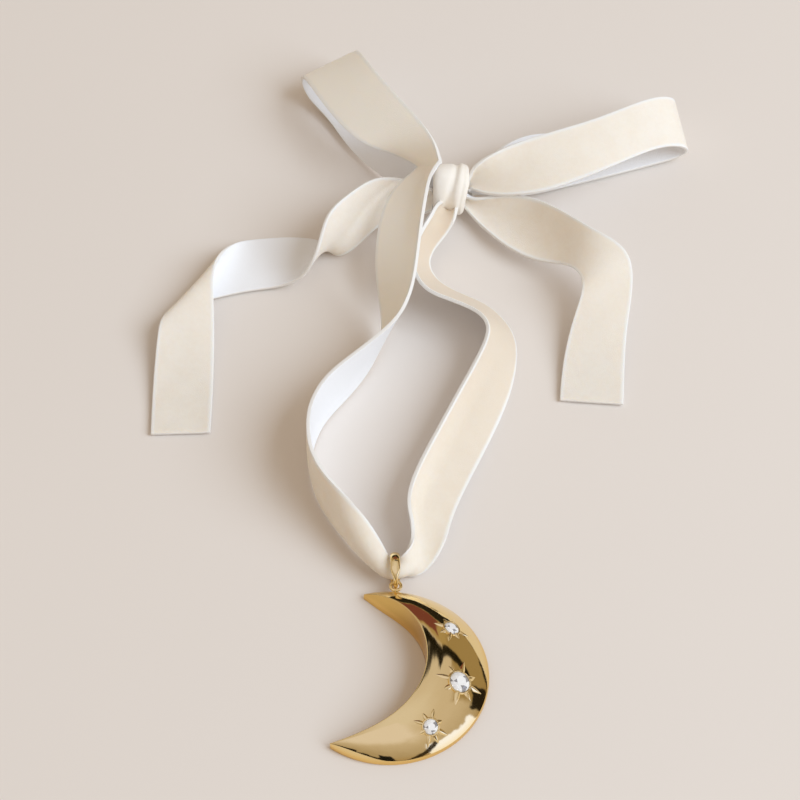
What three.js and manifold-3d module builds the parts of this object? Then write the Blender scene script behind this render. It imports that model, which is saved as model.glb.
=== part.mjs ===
// Crystal moon ornament: a domed metal crescent with three set crystals, a bail ring and a velvet ribbon bow.
// Millimetres, +Z up. The ornament lies on its back on a table at z = 0, with its bow towards +Y.
import * as THREE from 'three';
import { mergeVertices } from 'three/addons/utils/BufferGeometryUtils.js';
import Module from 'manifold-3d';

const wasm = await Module();
wasm.setup();

// Crescent: two circles, their spacing, and the heights of its inner edge
const moonOuterRadius = 24.2;
const moonInnerRadius = 21.7;
const moonCircleSpacing = 12.9;
const moonTurn = -10.5;
const moonMidHeight = 8.4;
const moonTipHeight = 1.7;
const moonHeightPower = 3.2;
const moonRimHeight = 1.3;
const moonDomePower = 2.3;
const moonTipWidth = 0.4;
const moonEdgeBreak = 0.25;
const hornSwell = 0.35;
const hornFootSwell = 2.0;
const hornSwellPower = 2.2;

// Hollow of the casting and the plate that closes it
const moonWall = 1.3;
const moonFaceThickness = 2.7;
const hollowReach = 0.8;
const plateThickness = 1.0;
const plateLedge = 0.8;
const plateReach = 0.9;
const plateClearance = 0.2;

// Crystals: a larger one in the middle and a smaller one on each side
const middleCrystalDiameter = 5.2;
const sideCrystalDiameter = 3.7;
const crystalSides = 16;
const crownShare = 0.2;
const tableShare = 0.56;
const pavilionShare = 0.32;
const girdleHeight = 0.25;
const girdleProud = 0.15;
const seatClearance = 0.2;
const collarWidth = 0.45;
const collarRise = 0.22;
const starRayWidth = 1.15;
const starRayRise = 0.5;
const starRaySink = 0.35;
const starRaySteps = 4;
const starTipWidth = 0.12;
const starRimMargin = 1.2;
const middleStarLongRay = 6.3;
const middleStarShortRay = 4.6;
const sideStarLongRay = 4.6;
const sideStarShortRay = 3.4;

// Where the crystals sit: a place along the crescent, -1 at the lower tip to 1 at the upper, and a share
// of the way across it from its inner edge
const topCrystalPlace = 0.33;
const topCrystalAcross = 0.53;
const middleCrystalPlace = -0.044;
const middleCrystalAcross = 0.57;
const bottomCrystalPlace = -0.382;
const bottomCrystalAcross = 0.625;

// Bail ring and the hanging eye on the crescent's outer edge
const ringX = -8.68;
const ringY = -58.9;
const ringMeanRadius = 4;
const ringWire = 1.2;
const ringBandWidth = 2.4;
const ringNarrowAngle = 40;
const ringWideAngle = 80;
const ringTurn = 2;
const ringFloorGap = 0.05;
const eyeWire = 0.8;
const eyeClearance = 0.28;
const eyeHeight = 3.6;
const eyeReach = 0.34;
const eyeAngle = 86.5;
const eyeStemDiameter = 1.8;
const eyeStemLength = 2;

// Velvet ribbon
const ribbonWidth = 16;
const ribbonThickness = 0.9;
const ribbonPanels = 6;
const pieceGap = 0.3;

// Knot: a wrap of ribbon drawn tight round the crossing
const knotX = 7;
const knotY = 62.5;
const knotLength = 8.4;
const knotDepth = 13;
const knotHeight = 16.2;
const knotFolds = 3;
const knotFoldDepth = 0.45;
const knotEndShare = 0.62;

const colours = {
  gold: { color: 0xd9b45f, roughness: 0.12, metalness: 1 },
  crystal: { color: 0xf2f4f6, roughness: 0.03, metalness: 0 },
  velvet: { color: 0xeadfc8, roughness: 0.9, metalness: 0 },
};

// Ribbon route points. Each is x, y, z of the ribbon's middle, then the plan angle and the slope of the
// line across it, then how far its two halves curl in degrees, then its width as a share of the full width.
const hangingLoopRoute = [
  [1, 63, 17.3, -45, 44, 25, 10, 0.85],
  [-3, 56, 17.8, -28, 34, 15, 5, 0.9],
  [-5.5, 48.5, 17.8, -18, 26, 5, 0, 0.95],
  [-7.5, 39, 16, -19, 31, 0, 0, 0.95],
  [-8.5, 29, 14.2, -28, 40, 0, 0, 0.98],
  [-8.5, 20.5, 12.2, -41, 52, 2, 2, 1],
  [-9.5, 13, 10.5, -52, 67, 5, 5, 1],
  [-14.5, 5, 9, -60, 82, 5, 5, 1],
  [-22, -2.5, 8.5, 100, 88, 0, 0, 1],
  [-27.5, -9.5, 8.5, 110, 87, 0, 0, 1],
  [-30.5, -17.5, 8.5, 115, 87, 0, 0, 1],
  [-31, -26, 8.5, 115, 87, -5, -5, 1],
  [-29.5, -33.5, 8.5, 112, 86, -10, -10, 1],
  [-26.3, -40.5, 8.4, 104, 82, -18, -15, 1],
  [-22, -48, 8, 95, 76, -45, -35, 0.95],
  [-17.6, -54.4, 7.2, 80, 68, -90, -80, 0.83],
  [-13.7, -58.8, 5.8, 85, 75, -135, -130, 0.72],
  [-10.9, -60.6, 4.9, 92, 86, -160, -160, 0.62],
  [-8.8, -60.8, 4.8, 92, 90, -165, -165, 0.59],
  [-6.6, -60.3, 4.9, 96, 85, -158, -158, 0.57],
  [-4.6, -58.5, 4.9, 115, 72, -90, -90, 0.5],
  [-3.4, -55.6, 4.5, 130, 50, 0, 0, 0.45],
  [-2.6, -52, 4.2, 150, 30, 70, 50, 0.62],
  [-2, -47.5, 4.4, 165, 18, 95, 30, 0.8],
  [-1.6, -41, 5, 175, 13, 75, 0, 0.92],
  [2, -31, 5, 180, 18, 60, 5, 1],
  [8, -18, 5, -172, 18, 50, -10, 1.05],
  [13.5, -5.5, 5.3, -173, 20, 45, -25, 1.02],
  [17.5, 4.5, 6, -168, 31, 30, -30, 0.95],
  [19.5, 12.5, 6.3, -149, 44, 15, -15, 0.95],
  [18, 18.5, 6.8, -121, 47, 5, -5, 1],
  [13, 23.5, 6.9, -109, 46, 0, 0, 1.02],
  [6.5, 26.5, 7.1, -104, 45, 0, 0, 1.05],
  [0.5, 29.5, 7.5, -107, 43, 0, 0, 1.05],
  [-2.8, 35, 8, -112, 45, 10, 10, 1],
  [-2.8, 40.5, 9.2, -118, 50, 20, 20, 0.92],
  [-0.8, 46.5, 10.4, -140, 52, 50, 40, 0.85],
  [2, 51.2, 10.2, -165, 44, 85, 75, 0.7],
  [4.5, 55.5, 8.9, 180, 35, 95, 90, 0.5],
];
const leftLoopRoute = [
  [1.3, 64.6, 6.3, 10, 85, 50, 50, 0.5],
  [-2, 66.5, 7.6, -10, 78, 25, 25, 0.75],
  [-6.5, 69.5, 8.6, -18, 66, 5, 0, 0.9],
  [-11.5, 76, 7.2, -16, 52, 0, 0, 0.95],
  [-15.5, 87, 4.8, 8, 26, 0, 0, 1],
  [-19.5, 98, 3, 30, 10, 0, 0, 1.05],
  [-25.5, 105.5, 3.4, 33, 9, 0, 0, 1.1],
  [-27.6, 108.2, 6.3, 24, 12, 0, 0, 1.05],
  [-27.6, 107.2, 11, 19, 16, 0, 0, 1.02],
  [-25.5, 101, 15.3, 23, 20, 0, 0, 1.05],
  [-22, 92, 18, 30, 23, 0, 0, 1.05],
  [-17, 83, 19.4, 35, 25, 0, 0, 1.05],
  [-11.5, 75, 20.3, 24, 29, -5, -5, 1],
  [-4.6, 68.5, 20, -12, 38, -10, -10, 0.88],
  [-0.3, 64.1, 18.4, -45, 46, -20, -15, 0.85],
];
const rightLoopRoute = [
  [12.5, 65.2, 11.4, 92, 66, 85, 75, 0.48],
  [17.5, 63, 12.9, 108, 30, 50, 45, 0.78],
  [27.5, 64, 15.4, 110, 20, 15, 10, 0.98],
  [37, 67, 16.8, 104, 24, 5, 5, 0.95],
  [47, 71.3, 17.1, 99, 26, 0, 0, 0.9],
  [57, 77.6, 16.3, 98, 29, 0, 0, 0.88],
  [64, 82, 14.6, 98, 28, 0, 0, 0.88],
  [69, 84.8, 11, 103, 24, 0, 0, 0.9],
  [70.5, 86.8, 6.2, 103, 13, 0, 0, 0.95],
  [67.5, 88.2, 1.9, 98, 4, 0, 0, 1.03],
  [58.5, 85.6, 0.9, 99, 0, 0, 0, 1.05],
  [48, 82, 0.9, 96, 0, 0, 0, 1.05],
  [38, 78.3, 2.4, 95, 12, 0, 0, 1],
  [31, 75.6, 4.6, 96, 28, -5, -5, 1.05],
  [23, 71.8, 6.3, 99, 44, -12, -15, 0.98],
  [16.5, 69.6, 6.2, 96, 58, -35, -35, 0.72],
  [12.4, 68.2, 5.6, 95, 66, -55, -55, 0.48],
];
const rightTailRoute = [
  [12.3, 60.4, 5.2, 62, 72, 90, 85, 0.42],
  [17.5, 57.5, 4.2, 64, 30, 65, 60, 0.72],
  [24.5, 52.6, 5.3, 71, 21, 35, 35, 1.05],
  [31.5, 47.5, 7.8, 78, 27, 20, 20, 1.05],
  [36.8, 42.6, 11, 73, 35, 10, 10, 0.82],
  [41, 37.8, 13.4, 57, 33, 0, 0, 0.7],
  [44.5, 34.6, 13.7, 42, 26, -8, -8, 0.8],
  [46.4, 31.8, 12.8, 34, 19, -8, -8, 0.92],
  [47, 29.2, 11, 28, 14, -5, -5, 0.98],
  [46.6, 26.3, 8.6, 22, 10, 0, 0, 1],
  [45.6, 22, 6, 18, 7, 0, 0, 1.03],
  [44.2, 16, 3.6, 15, 3, 0, 0, 1.03],
  [43, 7.5, 1.7, 8, 1, 0, 0, 1.03],
  [42.2, -4, 0.9, -5, 0, 0, 0, 1.03],
];
const leftTailRoute = [
  [1.6, 59.6, 8.2, -90, -60, 60, 60, 0.45],
  [-4.2, 60.4, 6.6, -88, -38, 40, 40, 0.68],
  [-10, 58.6, 8.6, -84, -36, 20, 20, 0.8],
  [-14.5, 56.6, 10.4, -79, -42, 10, 10, 0.8],
  [-19.5, 51.4, 10, -66, -52, 8, 5, 0.86],
  [-24.2, 46.8, 9.2, -35, -66, 5, 0, 0.9],
  [-26.4, 43.8, 8.2, 50, -72, 0, 0, 0.95],
  [-28.2, 42, 6.6, 76, -42, 0, 0, 1.05],
  [-30.8, 42.4, 3.9, 79, -20, 0, 0, 1.1],
  [-34.5, 42.9, 1.9, 79, -7, 0, 0, 1.12],
  [-40, 43, 1, 80, -1, 0, 0, 1.12],
  [-48, 42, 1, 84, 0, 0, 0, 1.12],
  [-53.2, 40, 2, 78, 6, 0, 0, 1.12],
  [-58, 36.3, 3.8, 64, 14, 0, 0, 1.12],
  [-62, 32, 5.9, 50, 12, 0, 0, 1.15],
  [-64, 26.2, 6.4, 44, 5, 0, 0, 1.18],
  [-64, 20, 4.7, 39, 2, 0, 0, 1.16],
  [-64, 10, 2.1, 28, 0, 0, 0, 1.08],
  [-64, -2, 0.9, 14, 0, 0, 0, 1],
  [-64, -14, 0.9, 2, 0, 0, 0, 0.96],
];

const radians = THREE.MathUtils.degToRad;

function polar(radius, angle) {
  return [radius * Math.cos(radians(angle)), radius * Math.sin(radians(angle))];
}

// Meshes and solids

function signedVolume(positions, indices) {
  let volume = 0;
  const [a, b, c] = [new THREE.Vector3(), new THREE.Vector3(), new THREE.Vector3()];
  for (let i = 0; i < indices.length; i += 3) {
    a.fromArray(positions, indices[i] * 3);
    b.fromArray(positions, indices[i + 1] * 3);
    c.fromArray(positions, indices[i + 2] * 3);
    volume += a.dot(b.cross(c)) / 6;
  }
  return volume;
}

function closedGeometry(points, indices) {
  const positions = points.flatMap((point) => [point.x, point.y, point.z]);
  if (signedVolume(positions, indices) < 0) {
    indices.reverse();
  }
  const geometry = new THREE.BufferGeometry();
  geometry.setAttribute('position', new THREE.Float32BufferAttribute(positions, 3));
  geometry.setIndex(indices);
  geometry.computeVertexNormals();
  return geometry;
}

// Joins rings of points into one closed body. capTriangles lists the triangles that close an end ring.
function loft(rings, capTriangles) {
  const count = rings[0].length;
  const indices = [];
  for (let ring = 0; ring < rings.length - 1; ring += 1) {
    for (let i = 0; i < count; i += 1) {
      const next = (i + 1) % count;
      const [a, b] = [ring * count + i, ring * count + next];
      const [c, d] = [a + count, b + count];
      indices.push(a, b, d, a, d, c);
    }
  }
  const last = (rings.length - 1) * count;
  for (const [a, b, c] of capTriangles) {
    indices.push(b, a, c, last + a, last + b, last + c);
  }
  return closedGeometry(rings.flat(), indices);
}

function fanCap(count) {
  return Array.from({ length: count - 2 }, (_, i) => [0, i + 1, i + 2]);
}

// Cap of a thin strip section, whose face points run out and whose back points run home
function stripCap(count) {
  const triangles = [];
  for (let i = 0; i < count / 2 - 1; i += 1) {
    const [a, b, c, d] = [i, i + 1, count - 2 - i, count - 1 - i];
    triangles.push([a, b, c], [a, c, d]);
  }
  return triangles;
}

function toSolid(geometry) {
  const bare = geometry.clone();
  bare.deleteAttribute('normal');
  bare.deleteAttribute('uv');
  const merged = mergeVertices(bare, 1e-4);
  return new wasm.Manifold(new wasm.Mesh({
    numProp: 3,
    vertProperties: new Float32Array(merged.attributes.position.array),
    triVerts: new Uint32Array(merged.index.array),
  }));
}

function toGeometry(solid) {
  const mesh = solid.getMesh();
  const geometry = new THREE.BufferGeometry();
  geometry.setAttribute('position', new THREE.Float32BufferAttribute(mesh.vertProperties, 3));
  geometry.setIndex(Array.from(mesh.triVerts));
  geometry.computeVertexNormals();
  return geometry;
}

function part(name, geometry, finish) {
  const mesh = new THREE.Mesh(geometry, new THREE.MeshStandardMaterial(finish));
  mesh.name = name;
  return mesh;
}

// Crescent

// Angles of the horn tips, seen from the centre of each circle of a crescent drawn in by inset
function tipAngles(inset) {
  const inner = moonInnerRadius + inset;
  const outer = moonOuterRadius - inset;
  const cosine = (moonCircleSpacing ** 2 + inner ** 2 - outer ** 2) / (2 * moonCircleSpacing * inner);
  const innerAngle = Math.acos(cosine);
  const tipX = inner * cosine - moonCircleSpacing;
  return { inner, outer, innerAngle, outerAngle: Math.atan2(inner * Math.sin(innerAngle), tipX) };
}

// Inner and outer edge points at a place along the crescent, -1 at one tip to 1 at the other. The inner
// edge stands into the gap at the horns by the swell.
function crescentEdges(place, inset, swell = hornSwell) {
  const { inner, outer, innerAngle, outerAngle } = tipAngles(inset);
  const innerReach = inner - swell * Math.sin(Math.PI * Math.abs(place) ** hornSwellPower);
  return {
    inner: new THREE.Vector2(
      innerReach * Math.cos(place * innerAngle) - moonCircleSpacing,
      innerReach * Math.sin(place * innerAngle),
    ),
    outer: new THREE.Vector2(outer * Math.cos(place * outerAngle), outer * Math.sin(place * outerAngle)),
  };
}

function innerEdgeHeight(place) {
  return moonTipHeight + (moonMidHeight - moonTipHeight) * (1 - Math.abs(place) ** moonHeightPower);
}

// Height of the domed face, across 0 at the inner edge to 1 at the outer edge
function faceHeight(place, across) {
  const rise = 1 - across ** moonDomePower;
  return moonRimHeight + (innerEdgeHeight(place) - moonRimHeight) * rise;
}

// Place along the crescent where it is as wide as the blunt tip of a horn
function bluntTipPlace() {
  let [low, high] = [0.5, 1];
  for (let step = 0; step < 30; step += 1) {
    const middle = (low + high) / 2;
    const { inner, outer } = crescentEdges(middle, 0);
    if (inner.distanceTo(outer) > moonTipWidth) {
      low = middle;
    } else {
      high = middle;
    }
  }
  return low;
}

// Point of the domed face above a local x and y
function faceAbove(x, y) {
  let [low, high] = [-0.98, 0.98];
  const point = new THREE.Vector2(x, y);
  for (let step = 0; step < 40; step += 1) {
    const middle = (low + high) / 2;
    const { inner, outer } = crescentEdges(middle, 0);
    const side = outer.clone().sub(inner).cross(point.clone().sub(inner));
    if (side > 0) {
      low = middle;
    } else {
      high = middle;
    }
  }
  const { inner, outer } = crescentEdges(low, 0);
  const across = point.distanceTo(inner) / outer.distanceTo(inner);
  return new THREE.Vector3(x, y, faceHeight(low, Math.min(across, 1)));
}

function faceNormal(x, y) {
  const step = 0.2;
  const slopeX = (faceAbove(x + step, y).z - faceAbove(x - step, y).z) / (2 * step);
  const slopeY = (faceAbove(x, y + step).z - faceAbove(x, y - step).z) / (2 * step);
  return new THREE.Vector3(-slopeX, -slopeY, 1).normalize();
}

function moonBlank() {
  const steps = 56;
  const faceSteps = 12;
  const reach = bluntTipPlace();
  const rings = [];
  for (let i = 0; i <= steps; i += 1) {
    const place = reach * Math.sin((Math.PI / 2) * ((2 * i) / steps - 1));
    const { inner, outer } = crescentEdges(place, 0);
    const width = inner.distanceTo(outer);
    const at = (across, height) => {
      const flat = inner.clone().lerp(outer, across);
      return new THREE.Vector3(flat.x, flat.y, height);
    };
    const edgeBreak = Math.min(moonEdgeBreak, width / 4);
    const foot = crescentEdges(place, 0, hornFootSwell).inner;
    const ring = [new THREE.Vector3(foot.x, foot.y, 0), at(0, faceHeight(place, 0) - edgeBreak)];
    const start = edgeBreak / width;
    for (let j = 0; j <= faceSteps; j += 1) {
      const across = start + (1 - start) * (j / faceSteps);
      ring.push(at(across, faceHeight(place, across)));
    }
    ring.push(at(1, 0));
    rings.push(ring);
  }
  return loft(rings, fanCap(rings[0].length));
}

// A crescent prism drawn in from the outline, from a floor height up to a roof
function crescentPrism(inset, reach, floor, roofHeight) {
  const steps = 40;
  const faceSteps = 6;
  const rings = [];
  for (let i = 0; i <= steps; i += 1) {
    const place = reach * ((2 * i) / steps - 1);
    const { inner, outer } = crescentEdges(place, inset);
    const ring = [new THREE.Vector3(inner.x, inner.y, floor)];
    for (let j = 0; j <= faceSteps; j += 1) {
      const flat = inner.clone().lerp(outer, j / faceSteps);
      ring.push(new THREE.Vector3(flat.x, flat.y, roofHeight(place, j / faceSteps)));
    }
    ring.push(new THREE.Vector3(outer.x, outer.y, floor));
    rings.push(ring);
  }
  return loft(rings, fanCap(rings[0].length));
}

function hollowRoof(place, across) {
  const outerShare = 0.9;
  const height = faceHeight(place, across * outerShare) - moonFaceThickness;
  return Math.max(height, plateThickness + moonEdgeBreak);
}

function backPlate() {
  return crescentPrism(plateLedge + plateClearance, plateReach, 0, () => plateThickness);
}

// Crystals and their star settings

function crystalSpot(place, across) {
  const { inner, outer } = crescentEdges(place, 0);
  return inner.lerp(outer, across).toArray();
}

function crystalSettings() {
  const side = { diameter: sideCrystalDiameter, longRay: sideStarLongRay, shortRay: sideStarShortRay };
  const middle = {
    diameter: middleCrystalDiameter,
    longRay: middleStarLongRay,
    shortRay: middleStarShortRay,
  };
  return [
    { name: 'crystal_top', ...side, spot: crystalSpot(topCrystalPlace, topCrystalAcross) },
    { name: 'crystal_middle', ...middle, spot: crystalSpot(middleCrystalPlace, middleCrystalAcross) },
    { name: 'crystal_bottom', ...side, spot: crystalSpot(bottomCrystalPlace, bottomCrystalAcross) },
  ];
}

// A brilliant: point down, girdle at z = 0, table up
function crystalProfile(diameter, grow) {
  const radius = diameter / 2 + grow;
  const crown = girdleHeight + diameter * crownShare;
  return [
    new THREE.Vector2(0, -diameter * pavilionShare - grow),
    new THREE.Vector2(radius, -grow),
    new THREE.Vector2(radius, girdleHeight),
    new THREE.Vector2((diameter * tableShare) / 2, crown),
    new THREE.Vector2(0, crown),
  ];
}

function crystalGeometry(diameter) {
  const geometry = new THREE.LatheGeometry(crystalProfile(diameter, 0), crystalSides);
  return geometry.rotateX(Math.PI / 2);
}

function seatGeometry(diameter) {
  const [tip, girdle] = crystalProfile(diameter, seatClearance);
  const mouth = diameter;
  const profile = [tip, girdle, new THREE.Vector2(girdle.x, mouth), new THREE.Vector2(0, mouth)];
  return new THREE.LatheGeometry(profile, crystalSides).rotateX(Math.PI / 2);
}

function settingMatrix(setting) {
  const [x, y] = setting.spot;
  const normal = faceNormal(x, y);
  const turn = new THREE.Quaternion().setFromUnitVectors(new THREE.Vector3(0, 0, 1), normal);
  const point = faceAbove(x, y).addScaledVector(normal, girdleProud - girdleHeight);
  return new THREE.Matrix4().compose(point, turn, new THREE.Vector3(1, 1, 1));
}

// Length of a ray that stops short of the crescent's outer edge
function rayReach(x, y, angle, length) {
  const along = x * Math.cos(angle) + y * Math.sin(angle);
  const limit = moonOuterRadius - starRimMargin;
  return Math.min(length, Math.sqrt(along ** 2 - x ** 2 - y ** 2 + limit ** 2) - along);
}

// One raised ray: a ridge that is full beside the crystal, follows the face and runs out under it at its tip
function rayRidge(setting, angle, length) {
  const [x, y] = setting.spot;
  const reach = rayReach(x, y, angle, length);
  const along = new THREE.Vector3(Math.cos(angle), Math.sin(angle), 0);
  const sideways = new THREE.Vector3(-along.y, along.x, 0);
  const root = setting.diameter / 2;
  const rings = [];
  for (let i = 0; i <= starRaySteps; i += 1) {
    const share = i / starRaySteps;
    const distance = root + (reach - root) * share;
    const half = (starRayWidth * (1 - share) + starTipWidth * share) / 2;
    const rise = starRayRise * (1 - share) - (starRaySink / 2) * share;
    const middle = new THREE.Vector3(x, y, 0).addScaledVector(along, distance);
    const onFace = (offset, lift) => {
      const flat = middle.clone().addScaledVector(sideways, offset);
      const point = faceAbove(flat.x, flat.y);
      point.z += lift;
      return point;
    };
    rings.push([onFace(-half, -starRaySink), onFace(0, rise), onFace(half, -starRaySink)]);
  }
  return loft(rings, fanCap(rings[0].length));
}

// Raised collar round a crystal, before its seat is cut
function collarGeometry(diameter) {
  const radius = diameter / 2 + seatClearance + collarWidth;
  const top = girdleHeight - girdleProud + collarRise;
  return new THREE.CylinderGeometry(radius - collarRise, radius, diameter / 2, 2 * crystalSides)
    .rotateX(Math.PI / 2)
    .translate(0, 0, top - diameter / 4);
}

function addSetting(casting, setting) {
  const rays = 8;
  const matrix = settingMatrix(setting);
  let solid = casting.add(toSolid(collarGeometry(setting.diameter).applyMatrix4(matrix)));
  for (let i = 0; i < rays; i += 1) {
    const length = i % 2 === 0 ? setting.longRay : setting.shortRay;
    solid = solid.add(toSolid(rayRidge(setting, (i * 2 * Math.PI) / rays, length)));
  }
  return solid.subtract(toSolid(seatGeometry(setting.diameter).applyMatrix4(matrix)));
}

// Hanging eye

const eyeHoleRadius = ringWire / 2 + eyeClearance;
const eyeMeanRadius = eyeHoleRadius + eyeWire / 2;
const ringHeight = ringMeanRadius + ringWire / 2 + ringFloorGap;
const eyeFromRing = Math.sqrt(ringMeanRadius ** 2 - (ringHeight - eyeHeight) ** 2);

function ringCentre() {
  return new THREE.Vector3(ringX, ringY, ringHeight);
}

// Centre of the eye, where the ring's wire passes down through it
function eyeCentre() {
  const turn = radians(ringTurn);
  return new THREE.Vector3(
    ringX + eyeFromRing * Math.sin(turn),
    ringY - eyeFromRing * Math.cos(turn),
    eyeHeight,
  );
}

function moonCentre() {
  const [dx, dy] = polar(moonOuterRadius + eyeReach, eyeAngle);
  const eye = eyeCentre();
  return new THREE.Vector3(eye.x - dx, eye.y - dy, 0);
}

function hangingEye() {
  const [x, y] = polar(moonOuterRadius + eyeReach, eyeAngle - moonTurn);
  const outward = new THREE.Vector3(x, y, 0).normalize();
  const eye = new THREE.TorusGeometry(eyeMeanRadius, eyeWire / 2, 10, 28).translate(x, y, eyeHeight);
  const stem = new THREE.CylinderGeometry(eyeStemDiameter / 2, eyeStemDiameter / 2, eyeStemLength, 16);
  const inwards = new THREE.Vector3(x, y, eyeHeight)
    .addScaledVector(outward, -(eyeMeanRadius + eyeStemLength / 2));
  const turn = new THREE.Quaternion().setFromUnitVectors(new THREE.Vector3(0, 1, 0), outward);
  stem.applyQuaternion(turn).translate(inwards.x, inwards.y, inwards.z - eyeWire / 2);
  return toSolid(eye).add(toSolid(stem));
}

function moonCasting() {
  const recess = crescentPrism(plateLedge, plateReach, -plateThickness, () => plateThickness);
  let solid = toSolid(moonBlank()).add(hangingEye()).subtract(toSolid(recess));
  const wall = plateLedge + moonWall;
  solid = solid.subtract(toSolid(crescentPrism(wall, hollowReach, 0, hollowRoof)));
  for (const setting of crystalSettings()) {
    solid = addSetting(solid, setting);
  }
  return toGeometry(solid);
}

// Bail ring

// A band with a rounded section that narrows to a round wire where it passes through the hanging eye
function bailRing() {
  const [sections, sides] = [48, 12];
  const eyeDirection = -Math.PI / 2 - Math.acos((ringHeight - eyeHeight) / ringMeanRadius);
  const points = [];
  for (let i = 0; i < sections; i += 1) {
    const angle = (i / sections) * 2 * Math.PI;
    const fromEye = Math.abs(THREE.MathUtils.radToDeg(Math.atan2(
      Math.sin(angle - eyeDirection),
      Math.cos(angle - eyeDirection),
    )));
    const widening = THREE.MathUtils.smoothstep(fromEye, ringNarrowAngle, ringWideAngle);
    const halfWidth = (ringWire + (ringBandWidth - ringWire) * widening) / 2;
    for (let j = 0; j < sides; j += 1) {
      const around = (j / sides) * 2 * Math.PI;
      const radius = ringMeanRadius + (ringWire / 2) * Math.cos(around);
      points.push(new THREE.Vector3(
        halfWidth * Math.sin(around),
        radius * Math.cos(angle),
        radius * Math.sin(angle),
      ));
    }
  }
  const indices = [];
  for (let i = 0; i < sections; i += 1) {
    for (let j = 0; j < sides; j += 1) {
      const [row, nextRow] = [i * sides, ((i + 1) % sections) * sides];
      const next = (j + 1) % sides;
      indices.push(row + j, row + next, nextRow + next, row + j, nextRow + next, nextRow + j);
    }
  }
  return closedGeometry(points, indices).rotateZ(radians(ringTurn));
}

// Ribbon

// Points of a smooth curve that runs along a list of equal-length number rows
function smoothRows(rows, steps) {
  const mirror = (end, near) => end.map((value, k) => 2 * value - near[k]);
  const last = rows.length - 1;
  const all = [mirror(rows[0], rows[1]), ...rows, mirror(rows[last], rows[last - 1])];
  const blend = (i, t) => all[i].map((_, k) => (
    (1 - t) ** 3 * all[i - 1][k]
    + (3 * t ** 3 - 6 * t ** 2 + 4) * all[i][k]
    + (-3 * t ** 3 + 3 * t ** 2 + 3 * t + 1) * all[i + 1][k]
    + t ** 3 * all[i + 2][k]
  ) / 6);
  const out = [];
  for (let i = 1; i < all.length - 2; i += 1) {
    for (let j = 0; j < steps; j += 1) {
      out.push(blend(i, j / steps));
    }
  }
  out.push(blend(all.length - 3, 1));
  return out;
}

// One half of the ribbon's section, curling steadily outwards from the middle
function curledHalf(curl, share, side) {
  const panels = ribbonPanels / 2;
  const panel = (ribbonWidth * share) / 2 / panels;
  const turn = radians(curl);
  const points = [];
  let [across, rise] = [0, 0];
  for (let i = 0; i < panels; i += 1) {
    const angle = (turn * (i + 0.5)) / panels;
    across += panel * Math.cos(angle);
    rise += panel * Math.sin(angle);
    points.push({ across: side * across, rise, lean: side * ((turn * (i + 1)) / panels) });
  }
  return points;
}

function ribbonSection(curlFar, curlNear, share) {
  const near = curledHalf(curlNear, share, -1).reverse();
  return [...near, { across: 0, rise: 0, lean: 0 }, ...curledHalf(curlFar, share, 1)];
}

function ribbonFrames(rows) {
  const middles = rows.map(([x, y, z]) => new THREE.Vector3(x, y, z));
  return rows.map((row, i) => {
    const before = middles[Math.max(i - 1, 0)];
    const after = middles[Math.min(i + 1, rows.length - 1)];
    const along = after.clone().sub(before).normalize();
    const across = new THREE.Vector3(row[3], row[4], row[5]).normalize();
    const out = along.clone().cross(across).normalize();
    return { middle: middles[i], across, out, section: ribbonSection(row[6], row[7], row[8]) };
  });
}

function ribbonGeometry(route, steps) {
  const rows = route.map(([x, y, z, plan, slope, curlFar, curlNear, share]) => {
    const level = Math.cos(radians(slope));
    const across = [level * Math.cos(radians(plan)), level * Math.sin(radians(plan))];
    return [x, y, z, ...across, Math.sin(radians(slope)), curlFar, curlNear, share];
  });
  const half = ribbonThickness / 2;
  const rings = ribbonFrames(smoothRows(rows, steps)).map(({ middle, across, out, section }) => {
    const side = (direction) => section.map((point) => middle.clone()
      .addScaledVector(across, point.across - direction * half * Math.sin(point.lean))
      .addScaledVector(out, point.rise + direction * half * Math.cos(point.lean)));
    return [...side(1), ...side(-1).reverse()];
  });
  return loft(rings, stripCap(rings[0].length));
}

function knotGeometry() {
  const steps = 14;
  const profile = [new THREE.Vector2(0, -knotLength / 2)];
  for (let i = 0; i <= steps; i += 1) {
    const t = (2 * i) / steps - 1;
    const barrel = knotEndShare + (1 - knotEndShare) * Math.sqrt(1 - t * t);
    const fold = (knotFoldDepth / knotHeight) * (1 - Math.cos(Math.PI * knotFolds * (t + 1)));
    profile.push(new THREE.Vector2(barrel - fold, (t * knotLength) / 2));
  }
  profile.push(new THREE.Vector2(0, knotLength / 2));
  return new THREE.LatheGeometry(profile, 24)
    .rotateZ(-Math.PI / 2)
    .scale(1, knotDepth / 2, knotHeight / 2)
    .translate(knotX, knotY, knotHeight / 2 + pieceGap);
}

function moonGroup() {
  const group = new THREE.Group();
  group.name = 'moon';
  group.position.copy(moonCentre());
  group.rotation.z = radians(moonTurn);
  group.add(part('moon_casting', moonCasting(), colours.gold));
  group.add(part('moon_back_plate', backPlate(), colours.gold));
  for (const setting of crystalSettings()) {
    const crystal = part(setting.name, crystalGeometry(setting.diameter), colours.crystal);
    crystal.applyMatrix4(settingMatrix(setting));
    group.add(crystal);
  }
  return group;
}

function ringGroup() {
  const group = new THREE.Group();
  group.name = 'bail';
  group.position.copy(ringCentre());
  group.add(part('bail_ring', bailRing(), colours.gold));
  return group;
}

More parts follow.
